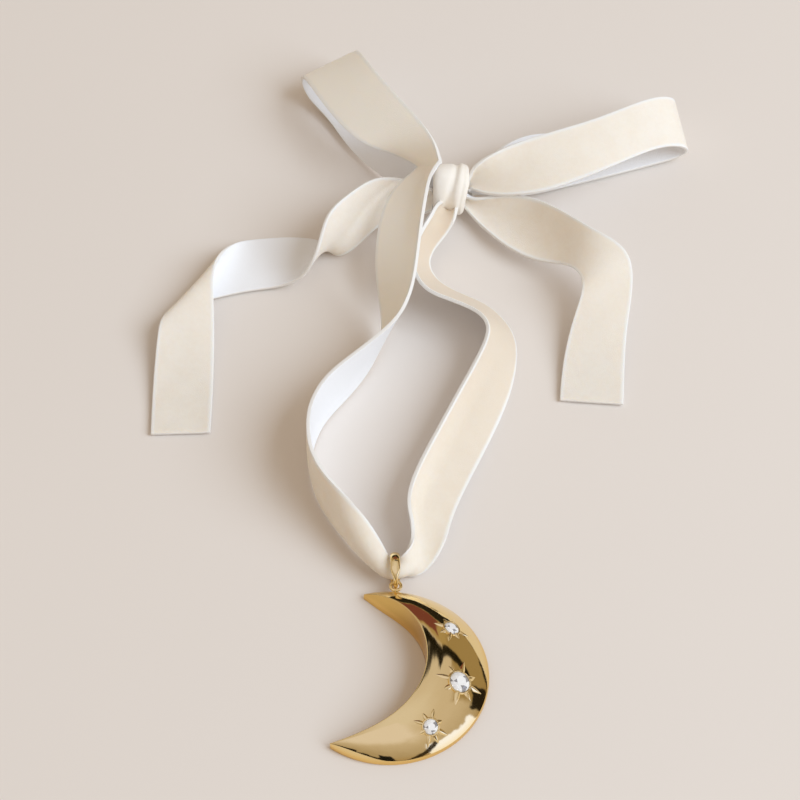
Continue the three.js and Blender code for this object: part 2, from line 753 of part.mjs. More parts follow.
function ribbonGroup() {
  const group = new THREE.Group();
  group.name = 'ribbon';
  group.add(part('ribbon_hanging_loop', ribbonGeometry(hangingLoopRoute, 2), colours.velvet));
  group.add(part('ribbon_left_loop', ribbonGeometry(leftLoopRoute, 3), colours.velvet));
  group.add(part('ribbon_right_loop', ribbonGeometry(rightLoopRoute, 3), colours.velvet));
  group.add(part('ribbon_left_tail', ribbonGeometry(leftTailRoute, 2), colours.velvet));
  group.add(part('ribbon_right_tail', ribbonGeometry(rightTailRoute, 2), colours.velvet));
  group.add(part('ribbon_knot', knotGeometry(), colours.velvet));
  return group;
}

const ornament = new THREE.Group();
ornament.name = 'crystal_moon_ornament';
ornament.add(ribbonGroup(), ringGroup(), moonGroup());
ornament.updateMatrixWorld(true);

export default ornament;
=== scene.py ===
"""Crystal moon ornament on a velvet ribbon bow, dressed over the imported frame.

Everything is in metres in the row frame: the ornament lies on the table at z = 0 with its bow
towards +Y. Sizes are written in millimetres and turned into metres once, with the MM factor.
"""

from __future__ import annotations

import logging
import math
from dataclasses import dataclass, field
from enum import Enum

import bmesh
import bpy
from mathutils import Matrix, Vector, noise

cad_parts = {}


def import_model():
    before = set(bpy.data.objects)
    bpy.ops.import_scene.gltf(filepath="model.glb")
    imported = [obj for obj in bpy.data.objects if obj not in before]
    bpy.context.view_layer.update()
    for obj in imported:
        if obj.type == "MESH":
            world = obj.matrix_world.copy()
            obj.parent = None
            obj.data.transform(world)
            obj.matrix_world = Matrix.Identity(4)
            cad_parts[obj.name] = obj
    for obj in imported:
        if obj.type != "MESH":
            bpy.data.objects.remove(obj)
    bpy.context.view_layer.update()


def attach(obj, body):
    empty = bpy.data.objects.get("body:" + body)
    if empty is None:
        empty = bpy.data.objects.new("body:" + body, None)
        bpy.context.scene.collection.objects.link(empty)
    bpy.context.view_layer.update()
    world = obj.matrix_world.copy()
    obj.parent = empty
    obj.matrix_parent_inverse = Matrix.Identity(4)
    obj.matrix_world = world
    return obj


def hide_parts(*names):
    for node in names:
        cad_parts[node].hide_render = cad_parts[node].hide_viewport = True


MM = 0.001
RIBBON_WIDTH = 16.0
LOG = logging.getLogger("moon_ornament")

Level = float | bpy.types.NodeSocket
Colour = tuple | bpy.types.NodeSocket


class Hold(Enum):
    GATHERED = "gathered"
    LAID = "laid"
    FOLDED = "folded"


class RibbonFace(Enum):
    """Material slots of a ribbon piece."""

    PILE = 0
    BACK = 1
    EDGE = 2


class GoldTone(Enum):
    """Material slots of the crescent shell."""

    FACE = 0
    INNER_WALL = 1


class FacetTone(Enum):
    """Material slots of a set crystal."""

    BRIGHT = 0
    SHADED = 1


class NodeBoard:
    """Small helper that adds and links shader nodes in one material or world."""

    def __init__(self, tree: bpy.types.NodeTree) -> None:
        """Keeps the tree, empties it and adds its coordinates.

        Args:
            tree: The node tree to build in.
        """
        self.tree = tree
        tree.nodes.clear()
        self.place = self.add("ShaderNodeTexCoord").outputs

    def add(self, kind: str, inputs: dict | None = None, **settings: object) -> bpy.types.Node:
        """Adds a node.

        Args:
            kind: The node's type name.
            inputs: Socket name or number to a value or to another node's output socket.
            **settings: Attributes set on the node itself.

        Returns:
            The new node.
        """
        node = self.tree.nodes.new(kind)
        for key, value in settings.items():
            setattr(node, key, value)
        for key, value in (inputs or {}).items():
            if isinstance(value, bpy.types.NodeSocket):
                self.tree.links.new(value, node.inputs[key])
            else:
                node.inputs[key].default_value = value
        return node

    def math(self, operation: str, *values: Level) -> bpy.types.NodeSocket:
        """Adds a math node on numbers or sockets, in order, and returns its result."""
        return self.add("ShaderNodeMath", dict(enumerate(values)), operation=operation).outputs[0]

    def mix(
        self, factor: Level, low: Colour, high: Colour, label: str = ""
    ) -> bpy.types.NodeSocket:
        """Mixes two colours.

        Args:
            factor: Number or socket, 0 for low and 1 for high.
            low: Colour or socket.
            high: Colour or socket.
            label: What the node is called in the shader editor.

        Returns:
            The mixed colour socket.
        """
        inputs = {0: factor, 6: low, 7: high}
        return self.add("ShaderNodeMix", inputs, data_type="RGBA", label=label).outputs[2]

    def ramp(self, value: Level, start: float, end: float) -> bpy.types.NodeSocket:
        """Maps a value to 0 at start and 1 at end, smoothly.

        Args:
            value: The input socket.
            start: Where the result is 0.
            end: Where the result is 1.

        Returns:
            The result socket.
        """
        inputs = {0: value, 1: start, 2: end, 3: 0.0, 4: 1.0}
        return self.add("ShaderNodeMapRange", inputs, interpolation_type="SMOOTHSTEP").outputs[0]

    def cloud(self, scale: float, detail: float = 2.0, **more: Level) -> bpy.types.NodeSocket:
        """Adds a noise pattern, fixed to the piece unless more gives another Vector.

        Args:
            scale: The noise's scale.
            detail: The noise's detail.
            **more: Further inputs of the noise by name.

        Returns:
            The noise socket.
        """
        inputs = {"Vector": self.place["Object"], "Scale": scale, "Detail": detail, **more}
        return self.add("ShaderNodeTexNoise", inputs).outputs[0]

    def cells(self, scale: float) -> bpy.types.bpy_prop_collection:
        """Adds a pattern of small cells, fixed to the piece, and returns its sockets."""
        inputs = {"Vector": self.place["Object"], "Scale": scale}
        return self.add("ShaderNodeTexVoronoi", inputs).outputs

    def axes(self, place: str) -> bpy.types.bpy_prop_collection:
        """Returns the sockets of one coordinate's separate numbers."""
        return self.add("ShaderNodeSeparateXYZ", {0: self.place[place]}).outputs

    def bump(self, height: Level, strength: float, depth: float) -> bpy.types.NodeSocket:
        """Adds a bump from a height socket, with its depth in metres, and returns the normal."""
        inputs = {"Strength": strength, "Distance": depth, "Height": height}
        return self.add("ShaderNodeBump", inputs).outputs[0]

    def surface(self, inputs: dict) -> None:
        """Adds the Principled shader with these inputs and links it to the output."""
        shader = self.add("ShaderNodeBsdfPrincipled", inputs)
        self.add("ShaderNodeOutputMaterial", {0: shader.outputs[0]})


def new_material(name: str) -> tuple[bpy.types.Material, NodeBoard]:
    """Starts a node material.

    Args:
        name: The material's name.

    Returns:
        The material and its board.
    """
    material = bpy.data.materials.new(name)
    material.use_nodes = True
    return material, NodeBoard(material.node_tree)


@dataclass(frozen=True)
class VelvetPile:
    """Short cream pile with a paler woven border along both edges.

    Ramps along the ribbon paint light and shade on it, standing for the way its nap catches the
    light: a paler painted light on its first part and a deeper painted shade on its last. Each
    range holds two distances in ribbon widths: where the pile turns from the paler painted light
    to plain, and from plain to the deeper painted shade.
    """

    name: str = "velvet_pile"
    colour: tuple = (0.895, 0.83, 0.75, 1.0)
    crushed: tuple = (0.865, 0.785, 0.69, 1.0)
    crush_scale: float = 170.0
    crush_weight: float = 0.75
    brush_scale: float = 900.0
    brush_weight: float = 0.45
    crush_range: tuple = (0.35, 0.95)
    border: tuple = (0.885, 0.87, 0.845, 1.0)
    border_range: tuple = (0.416, 0.484)
    painted_light: tuple = (1.0, 0.935, 0.85, 1.0)
    painted_light_range: tuple | None = None
    against_nap: tuple = (0.745, 0.635, 0.51, 1.0)
    against_nap_range: tuple | None = None
    tuft_scale: float = 5200.0
    tuft_depth: float = 0.00012
    tuft_strength: float = 0.35
    crush_relief: float = 0.8
    light_through: float = 0.4

    def build(self) -> bpy.types.Material:
        """Returns the pile material."""
        material, board = new_material(self.name)
        across, along = board.axes("UV")[:2]
        from_middle = board.math("ABSOLUTE", board.math("SUBTRACT", across, 0.5))
        crush = board.cloud(self.crush_scale, 3.0, Roughness=0.55)
        brushed = board.cloud(self.brush_scale, Roughness=0.6)
        lean = board.math("MULTIPLY", crush, self.crush_weight)
        lean = board.math("MULTIPLY_ADD", brushed, self.brush_weight, lean)
        pile = board.mix(board.ramp(lean, *self.crush_range), self.colour, self.crushed)
        # Painted light along the first part of the ribbon, painted shade along its last.
        if self.painted_light_range:
            pile = board.mix(board.ramp(along, *self.painted_light_range), self.painted_light, pile)
        if self.against_nap_range:
            pile = board.mix(board.ramp(along, *self.against_nap_range), pile, self.against_nap)
        tufts = board.cells(self.tuft_scale)["Distance"]
        height = board.math("MULTIPLY_ADD", crush, self.crush_relief, tufts)
        at_border = board.ramp(from_middle, *self.border_range)
        board.surface(
            {
                "Base Color": board.mix(at_border, pile, self.border),
                "Normal": board.bump(height, self.tuft_strength, self.tuft_depth),
                "Roughness": 0.95,
                "Specular IOR Level": 0.15,
                "Subsurface Weight": self.light_through,
                "Subsurface Radius": (1.0, 0.85, 0.65),
                "Subsurface Scale": 0.0015,
                "Sheen Weight": 0.4,
                "Sheen Roughness": 0.5,
                "Sheen Tint": (1.0, 0.94, 0.84, 1.0),
            }
        )
        return material


@dataclass(frozen=True)
class SatinBack:
    """Smooth white back of the ribbon with a fine crosswise weave."""

    colour: tuple = (0.93, 0.935, 0.955, 1.0)
    cloudy: tuple = (0.905, 0.91, 0.93, 1.0)
    cloud_scale: float = 120.0
    rib_pitch: float = 0.42
    thread_closeness: float = 1.3
    thread_relief: float = 0.35
    weave_depth: float = 0.00005
    weave_strength: float = 0.18

    def build(self) -> bpy.types.Material:
        """Returns the back material."""
        material, board = new_material("satin_back")
        across, along = board.axes("UV")[:2]
        turns = RIBBON_WIDTH / self.rib_pitch * 2.0 * math.pi
        rib = board.math("SINE", board.math("MULTIPLY", along, turns))
        thread = board.math("SINE", board.math("MULTIPLY", across, turns * self.thread_closeness))
        weave = board.math("MULTIPLY_ADD", thread, self.thread_relief, rib)
        board.surface(
            {
                "Base Color": board.mix(board.cloud(self.cloud_scale), self.colour, self.cloudy),
                "Normal": board.bump(weave, self.weave_strength, self.weave_depth),
                "Roughness": 0.6,
                "Specular IOR Level": 0.3,
                "Sheen Weight": 0.1,
            }
        )
        return material


@dataclass(frozen=True)
class CutEdge:
    """Thin woven edge of the ribbon, seen from the side."""

    colour: tuple = (0.885, 0.87, 0.85, 1.0)
    between_threads: tuple = (0.84, 0.81, 0.765, 1.0)
    fuzz_scale: float = 3200.0
    fuzz_depth: float = 0.0001
    fuzz_strength: float = 0.5

    def build(self) -> bpy.types.Material:
        """Returns the edge material."""
        material, board = new_material("ribbon_edge")
        fuzz = board.cloud(self.fuzz_scale)
        board.surface(
            {
                "Base Color": board.mix(fuzz, self.colour, self.between_threads),
                "Normal": board.bump(fuzz, self.fuzz_strength, self.fuzz_depth),
                "Roughness": 0.9,
                "Sheen Weight": 0.2,
            }
        )
        return material


@dataclass(frozen=True)
class PolishedGold:
    """Mirror polished pale yellow plating with faint buffing lines and handling marks.

    The foot is a deeper gold near the table. It stands for the contact shadow that the plating
    mirrors there, and fades out over the foot_range, in metres above the table at rest.
    """

    name: str = "polished_gold"
    colour: tuple = (0.95, 0.75, 0.385, 1.0)
    warm: tuple = (0.93, 0.72, 0.345, 1.0)
    cloud_scale: float = 140.0
    foot: tuple = (0.90, 0.60, 0.20, 1.0)
    foot_range: tuple = (0.0008, 0.0028)
    roughness: float = 0.055
    roughness_spread: float = 0.05
    buffing_scale: float = 2600.0
    buffing_depth: float = 0.00002
    buffing_strength: float = 0.03

    def build(self) -> bpy.types.Material:
        """Returns the gold material."""
        material, board = new_material(self.name)
        cloud = board.cloud(self.cloud_scale, 3.0)
        buffing = board.cloud(self.buffing_scale, Distortion=1.5)
        least = self.roughness - 0.4 * self.roughness_spread
        low_down = board.ramp(board.axes("Object")[2], *self.foot_range)
        plating = board.mix(cloud, self.colour, self.warm)
        board.surface(
            {
                "Base Color": board.mix(low_down, self.foot, plating),
                "Roughness": board.math("MULTIPLY_ADD", cloud, self.roughness_spread, least),
                "Normal": board.bump(buffing, self.buffing_strength, self.buffing_depth),
                "Metallic": 1.0,
            }
        )
        return material


@dataclass(frozen=True)
class ClearCrystal:
    """Leaded glass with the faintest cloud of surface wear."""

    name: str = "clear_crystal"
    colour: tuple = (1.0, 0.985, 0.97, 1.0)
    transmission: float = 0.2
    wear_scale: float = 1500.0
    most_roughness: float = 0.03

    def build(self) -> bpy.types.Material:
        """Returns the crystal material."""
        material, board = new_material(self.name)
        wear = board.cloud(self.wear_scale)
        board.surface(
            {
                "Base Color": self.colour,
                "Roughness": board.math("MULTIPLY", wear, self.most_roughness),
                "IOR": 1.6,
                "Transmission Weight": self.transmission,
            }
        )
        return material


@dataclass(frozen=True)
class SilverFoil:
    """Bright foil on the back of a crystal, in cells of which some carry a painted dark reflection.
    """

    bright: tuple = (0.98, 0.98, 0.98, 1.0)
    dark: tuple = (0.08, 0.08, 0.09, 1.0)
    dark_range: tuple = (0.68, 0.78)
    cell_scale: float = 1250.0
    crinkle_depth: float = 0.0001
    crinkle_strength: float = 0.6

    def build(self) -> bpy.types.Material:
        """Returns the foil material."""
        material, board = new_material("silver_foil")
        crinkle = board.cells(self.cell_scale)
        glint = board.add("ShaderNodeSeparateColor", {0: crinkle["Color"]}).outputs[0]
        # Some cells turn dark: a painted dark reflection.
        in_shade = board.ramp(glint, *self.dark_range)
        height = crinkle["Distance"]
        board.surface(
            {
                "Base Color": board.mix(in_shade, self.bright, self.dark),
                "Normal": board.bump(height, self.crinkle_strength, self.crinkle_depth),
                "Metallic": 1.0,
                "Roughness": 0.12,
            }
        )
        return material


@dataclass(frozen=True)
class PaleTable:
    """Plain warm matt tabletop with a faint cloud of darker tone."""

    colour: tuple = (0.835, 0.775, 0.725, 1.0)
    cloudy_share: float = 0.965
    cloud_scale: float = 6.0

    def build(self) -> bpy.types.Material:
        """Returns the table material."""
        material, board = new_material("pale_table")
        cloudy = (*(self.cloudy_share * part for part in self.colour[:3]), 1.0)
        board.surface(
            {
                "Base Color": board.mix(board.cloud(self.cloud_scale), self.colour, cloudy),
                "Roughness": 0.85,
                "Specular IOR Level": 0.2,
            }
        )
        return material


def finish_mesh(
    name: str,
    shape: bmesh.types.BMesh,
    materials: list[bpy.types.Material],
    sharp_angle: float | None = 35.0,
) -> bpy.types.Object:
    """Turns a bmesh into a linked object with its materials.

    Args:
        name: The object's name.
        shape: The bmesh, in the row frame, which is freed.
        materials: Materials in slot order.
        sharp_angle: Edges sharper than this many degrees stay crisp; None leaves faces flat.

    Returns:
        The new object at the origin.
    """
    mesh = bpy.data.meshes.new(name)
    shape.to_mesh(mesh)
    shape.free()
    for material in materials:
        mesh.materials.append(material)
    if sharp_angle is not None:
        mesh.shade_smooth()
        mesh.set_sharp_from_angle(angle=math.radians(sharp_angle))
    piece = bpy.data.objects.new(name, mesh)
    bpy.context.scene.collection.objects.link(piece)
    return piece


def grid_from(columns: int, rows: int) -> bmesh.types.BMesh:
    """Makes a grid whose points run from -1 to 1 both ways.

    Args:
        columns: Faces along x.
        rows: Faces along y.

    Returns:
        The bmesh.
    """
    shape = bmesh.new()
    bmesh.ops.create_grid(shape, x_segments=columns, y_segments=rows, size=1.0)
    return shape


def move(shape: bmesh.types.BMesh, matrix: Matrix) -> None:
    """Transforms the whole shape."""
    bmesh.ops.transform(shape, matrix=matrix, verts=shape.verts[:])


def face_outwards(shape: bmesh.types.BMesh) -> None:
    """Points every face of the shape outwards."""
    bmesh.ops.recalc_face_normals(shape, faces=shape.faces[:])


def spin_round(shape: bmesh.types.BMesh, outline: list, steps: int) -> None:
    """Spins an outline once round Z.

    Args:
        shape: The bmesh that holds the outline.
        outline: Its vertices and edges.
        steps: Faces round the turn.
    """
    bmesh.ops.spin(
        shape,
        geom=outline,
        cent=(0, 0, 0),
        axis=(0, 0, 1),
        angle=2 * math.pi,
        steps=steps,
        use_merge=True,
    )


def spin_wire(
    shape: bmesh.types.BMesh, mean_radius: float, wire: float, sides: int, steps: int
) -> None:
    """Spins a round wire into a closed ring about Z.

    Args:
        shape: The bmesh to add to.
        mean_radius: Radius of the wire's centre line.
        wire: Diameter of the wire.
        sides: Faces round the wire.
        steps: Faces round the ring.
    """
    place = Matrix.Translation((mean_radius, 0, 0)) @ Matrix.Rotation(math.pi / 2, 4, "X")
    made = bmesh.ops.create_circle(shape, segments=sides, radius=wire / 2, matrix=place)
    edges = list({edge for vert in made["verts"] for edge in vert.link_edges})
    spin_round(shape, made["verts"] + edges, steps)


def lay_pattern(shape: bmesh.types.BMesh, widths: float) -> None:
    """Gives a flat cloth grid its UV map: u across the cloth, v along it in ribbon widths.

    Args:
        shape: The grid, whose points run from -1 to 1 both ways.
        widths: The cloth's length in ribbon widths.
    """
    layer = shape.loops.layers.uv.new("UVMap")
    for face in shape.faces:
        for loop in face.loops:
            spot = loop.vert.co
            loop[layer].uv = ((spot.x + 1) / 2, (spot.y + 1) / 2 * widths)


def give_thickness(piece: bpy.types.Object, thickness: float, offset: float) -> bpy.types.Modifier:
    """Gives a cloth piece its thickness, its white back and its woven edge.

    Args:
        piece: The cloth, with the pile on its front.
        thickness: In millimetres.
        offset: Where the cloth lies in its thickness, from -1 to 1.

    Returns:
        The modifier.
    """
    wall = piece.modifiers.new("cloth_thickness", "SOLIDIFY")
    wall.thickness = thickness * MM
    wall.offset = offset
    wall.material_offset = RibbonFace.BACK.value
    wall.material_offset_rim = RibbonFace.EDGE.value
    return wall


def eased(value: float, low: float, high: float) -> float:
    """Returns how far a value is from low to high, from 0 to 1, with soft ends."""
    share = min(max((value - low) / (high - low), 0.0), 1.0)
    return share * share * (3 - 2 * share)


@dataclass(frozen=True)
class Station:
    """One cross-section of the ribbon.

    Position is in millimetres, plan, slope and curls in degrees. Plan and slope turn the line
    across the ribbon; the curls bend its two halves towards the pile side; share is its width as a
    share of the full width.
    """

    x: float
    y: float
    z: float
    plan: float
    slope: float
    curl_far: float
    curl_near: float
    share: float

    def row(self) -> list[float]:
        """Returns the station as plain numbers that can be blended."""
        plan, slope = math.radians(self.plan), math.radians(self.slope)
        level = math.cos(slope)
        across = (level * math.cos(plan), level * math.sin(plan), math.sin(slope))
        return [self.x, self.y, self.z, *across, self.curl_far, self.curl_near, self.share]


def stations(*rows: tuple[float, ...]) -> list[Station]:
    """Turns rows of values, in the order of a station's own, into stations."""
    return [Station(*row) for row in rows]


class SmoothRoute:
    """A smooth curve of stations: the uniform cubic B-spline that the solids follow too."""

    def __init__(self, stations: list[Station]) -> None:
        """Mirrors the end stations so that the curve reaches both ends.

        Args:
            stations: The stations in order.
        """
        rows = [station.row() for station in stations]
        first = [2 * a - b for a, b in zip(rows[0], rows[1])]
        last = [2 * a - b for a, b in zip(rows[-1], rows[-2])]
        self.rows = [first, *rows, last]
        self.spans = len(stations) - 1

    def at(self, share: float) -> tuple[list[float], Vector]:
        """Blends the stations at a share of the route.

        Args:
            share: 0 at the start, 1 at the end.

        Returns:
            The blended row and the direction of travel.
        """
        place = min(max(share, 0.0), 1.0) * self.spans
        span = min(int(place), self.spans - 1)
        t = place - span
        weights = (
            (1 - t) ** 3,
            3 * t**3 - 6 * t**2 + 4,
            -3 * t**3 + 3 * t**2 + 3 * t + 1,
            t**3,
        )
        slopes = (-3 * (1 - t) ** 2, 9 * t**2 - 12 * t, -9 * t**2 + 6 * t + 3, 3 * t**2)
        near = self.rows[span : span + 4]
        row = [sum(w * r[k] for w, r in zip(weights, near)) / 6 for k in range(len(near[0]))]
        travel = Vector([sum(w * r[k] for w, r in zip(slopes, near)) for k in range(3)])
        return row, travel.normalized()

    def length(self) -> float:
        """Returns the route's length in metres."""
        steps = self.spans * 12
        points = [Vector(self.at(i / steps)[0][:3]) for i in range(steps + 1)]
        return MM * sum((b - a).length for a, b in zip(points, points[1:]))


@dataclass
class RibbonLength:
    """One visible length of the velvet ribbon, with a faint wave along its edges.

    The wave's closeness is given along the ribbon for each span of its route, and across it for
    each half width, and the seed sets where in the noise it starts.
    """

    name: str
    nodes: tuple[str, ...]
    stations: list[Station]
    held: Hold
    rests_on: list[str]
    seed: float
    width: float = RIBBON_WIDTH
    thickness: float = 0.85
    soft_edge: float = 0.24
    columns: int = 26
    rows_per_span: int = 9
    edge_wave: float = 0.16
    waves_along: float = 0.9
    waves_across: float = 0.7
    route: SmoothRoute = field(init=False)

    def __post_init__(self) -> None:
        """Prepares the smooth route."""
        self.route = SmoothRoute(self.stations)

    def surface_point(self, across_share: float, along_share: float) -> Vector:
        """Finds a point of the ribbon's middle surface.

        Args:
            across_share: -1 at the near edge, 1 at the far edge.
            along_share: 0 at the start, 1 at the end.

        Returns:
            The point in metres.
        """
        row, travel = self.route.at(along_share)
        across = Vector(row[3:6]).normalized()
        outward = travel.cross(across).normalized()
        reach = abs(across_share) * self.width * row[8] / 2
        curl = math.radians(row[6] if across_share > 0 else row[7]) * abs(across_share)
        if abs(curl) > 1e-4:
            sideways, rise = reach * math.sin(curl) / curl, reach * (1 - math.cos(curl)) / curl
        else:
            sideways, rise = reach, 0.0
        travelled = along_share * self.route.spans
        spot = Vector((travelled * self.waves_along, across_share * self.waves_across, self.seed))
        wave = noise.noise(spot)
        rise += self.edge_wave * wave * across_share**2
        side = 1.0 if across_share > 0 else -1.0
        return MM * (Vector(row[:3]) + across * (side * sideways) + outward * rise)

    def build(self, materials: list[bpy.types.Material]) -> bpy.types.Object:
        """Args:
            materials: Pile, back and edge materials.

        Returns:
            The finished object.
        """
        length = self.route.length()
        shape = grid_from(self.columns, self.route.spans * self.rows_per_span)
        lay_pattern(shape, length / (self.width * MM))
        for vert in shape.verts:
            vert.co = self.surface_point(vert.co.x, (vert.co.y + 1) / 2)
        bmesh.ops.reverse_faces(shape, faces=shape.faces[:])
        piece = finish_mesh(self.name, shape, materials, sharp_angle=80.0)
        self._thicken(piece)
        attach(piece, "ribbon")
        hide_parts(*self.nodes)
        return piece

    def _thicken(self, piece: bpy.types.Object) -> None:
        """Gives the sheet its thickness and its soft edges.

        Args:
            piece: The ribbon object.
        """
        wall = give_thickness(piece, self.thickness, 0.0)
        wall.use_even_offset = True
        wall.use_quality_normals = True
        soften = piece.modifiers.new("soft_edge", "BEVEL")
        soften.width = self.soft_edge * MM
        soften.segments = 2
        soften.limit_method = "ANGLE"
        soften.angle_limit = math.radians(60)


LEFT_AND_HANGING_LOOP = stations(
    (1.3, 64.6, 6.3, 10, 85, 50, 50, 0.5),
    (-2, 66.5, 7.6, -10, 78, 25, 25, 0.75),
    (-6.5, 69.5, 8.6, -18, 66, 5, 0, 0.9),
    (-11.5, 76, 7.2, -16, 52, 0, 0, 0.95),
    (-15.5, 87, 4.8, 8, 26, 0, 0, 1),
    (-19.5, 98, 3, 30, 10, 0, 0, 1.05),
    (-25.5, 105.5, 3.4, 33, 9, 0, 0, 1.1),
    (-27.6, 108.2, 6.3, 24, 12, 0, 0, 1.05),
    (-27.6, 107.2, 11, 19, 16, 0, 0, 1.02),
    (-25.5, 101, 15.3, 23, 20, 0, 0, 1.05),
    (-22, 92, 18, 30, 23, 0, 0, 1.05),
    (-17, 83, 19.4, 35, 25, 0, 0, 1.05),
    (-11.5, 75, 20.3, 24, 29, -5, -5, 1),
    (-4.6, 68.5, 20, -12, 38, -10, -10, 0.88),
    (-0.3, 64.1, 18.6, -42, 45, 5, -8, 0.86),
    (1.2, 62.8, 18.1, -45, 45, 22, 0, 0.86),
    (0.5, 61, 17.9, -41, 42, 40, 5, 0.87),
    (-3, 56, 17.8, -28, 34, 48, 5, 0.92),
    (-5.5, 48.5, 17.8, -18, 26, 45, 0, 0.98),
    (-7.5, 39, 16, -19, 31, 25, 0, 0.97),
    (-8.5, 29, 14.2, -28, 40, 0, 0, 0.98),
    (-8.5, 20.5, 12.2, -41, 52, 2, 2, 1),
    (-9.5, 13, 10.5, -52, 67, 5, 5, 1),
    (-14.5, 5, 9, -60, 82, 5, 5, 1),
    (-22, -2.5, 8.5, 100, 88, 0, 0, 1),
    (-27.5, -9.5, 8.5, 110, 87, 0, 0, 1),
    (-30.5, -17.5, 8.5, 115, 87, 0, 0, 1),
    (-31, -26, 8.5, 115, 87, -5, -5, 1),
    (-29.5, -33.5, 8.5, 112, 86, -10, -10, 1),
    (-26.3, -40.5, 8.4, 104, 82, -18, -15, 1),
    (-22, -48, 8, 95, 76, -45, -35, 0.95),
    (-17.6, -54.4, 7.2, 80, 68, -90, -80, 0.83),
    (-13.7, -58.8, 5.8, 85, 75, -135, -130, 0.72),
    (-10.9, -60.6, 4.9, 92, 86, -160, -160, 0.62),
    (-8.8, -60.8, 4.8, 92, 90, -165, -165, 0.59),
    (-6.6, -60.3, 4.9, 96, 85, -158, -158, 0.57),
    (-4.6, -58.5, 4.9, 115, 72, -90, -90, 0.5),
    (-3.4, -55.6, 4.5, 130, 50, 0, 0, 0.45),
    (-2.6, -52, 4.2, 150, 30, 70, 50, 0.62),
    (-2, -47.5, 4.4, 165, 18, 95, 30, 0.8),
    (-1.6, -41, 5, 175, 13, 75, 0, 0.92),
    (2, -31, 5, 180, 18, 60, 5, 1),
    (8, -18, 5, -172, 18, 50, -10, 1.05),
    (13.5, -5.5, 5.3, -173, 20, 45, -25, 1.02),
    (17.5, 4.5, 6, -168, 31, 30, -30, 0.95),
    (19.5, 12.5, 6.3, -149, 44, 15, -15, 0.95),
    (18, 18.5, 6.8, -121, 47, 5, -5, 1),
    (13, 23.5, 6.9, -109, 46, 0, 0, 1.02),
    (6.5, 26.5, 7.1, -104, 45, 0, 0, 1.05),
    (0.5, 29.5, 7.5, -107, 43, 0, 0, 1.05),
    (-2.8, 35, 8, -112, 45, 10, 10, 1),
    (-2.8, 40.5, 9.2, -118, 50, 20, 20, 0.92),
    (-0.8, 46.5, 10.4, -140, 52, 50, 40, 0.85),
    (2, 51, 9.9, -165, 42, 85, 75, 0.7),
    (4.3, 54.9, 7.6, 180, 30, 98, 92, 0.52),
    (5.4, 57.6, 6, 180, 18, 108, 102, 0.44),
)

RIGHT_LOOP = stations(
    (10.4, 64, 9.8, 92, 70, 110, 105, 0.38),
    (12.5, 65.2, 11.4, 92, 66, 85, 75, 0.48),
    (17.5, 63, 12.9, 108, 30, 50, 45, 0.78),
    (27.5, 64, 15.4, 110, 20, 15, 10, 0.98),
    (37, 67, 16.8, 104, 24, 5, 5, 0.95),
    (47, 71.3, 17.1, 99, 26, 0, 0, 0.9),
    (57, 77.6, 16.3, 98, 29, 0, 0, 0.88),
    (64, 82, 14.6, 98, 28, 0, 0, 0.88),
    (69, 84.8, 11, 103, 24, 0, 0, 0.9),
    (70.5, 86.8, 6.2, 103, 13, 0, 0, 0.95),
    (67.5, 88.2, 1.9, 98, 4, 0, 0, 1.03),
    (58.5, 85.6, 0.9, 99, 0, 0, 0, 1.05),
    (48, 82, 0.9, 96, 0, 0, 0, 1.05),
    (38, 78.3, 2.4, 95, 12, 0, 0, 1),
    (31, 75.6, 4.6, 96, 28, -5, -5, 1.05),
    (23, 71.8, 6.3, 99, 44, -12, -15, 0.98),
    (16.5, 69.6, 6.2, 96, 58, -35, -35, 0.72),
    (12.4, 67.6, 5.8, 95, 66, -60, -60, 0.46),
    (10.4, 64.6, 7, 95, 70, -90, -90, 0.36),
)

RIGHT_TAIL = stations(
    (10.4, 61.7, 6.6, 62, 78, 110, 105, 0.36),
    (12.3, 60.4, 5.4, 62, 72, 90, 85, 0.42),
    (17.5, 57.5, 4.2, 64, 30, 65, 60, 0.72),
    (24.5, 52.6, 5.3, 71, 21, 35, 35, 1.05),
    (31.5, 47.5, 7.8, 78, 27, 20, 20, 1.05),
    (36.8, 42.6, 11, 73, 35, 10, 10, 0.82),
    (41, 37.8, 13.4, 57, 33, 0, 0, 0.7),
    (44.5, 34.6, 13.7, 42, 26, -8, -8, 0.8),
    (46.4, 31.8, 12.8, 34, 19, -8, -8, 0.92),
    (47, 29.2, 11, 28, 14, -5, -5, 0.98),
    (46.6, 26.3, 8.6, 22, 10, 0, 0, 1),
    (45.6, 22, 6, 18, 7, 0, 0, 1.03),
    (44.2, 16, 3.6, 15, 3, 0, 0, 1.03),
    (43, 7.5, 1.7, 8, 1, 0, 0, 1.03),
    (42.2, -4, 0.9, -5, 0, 0, 0, 1.03),
)

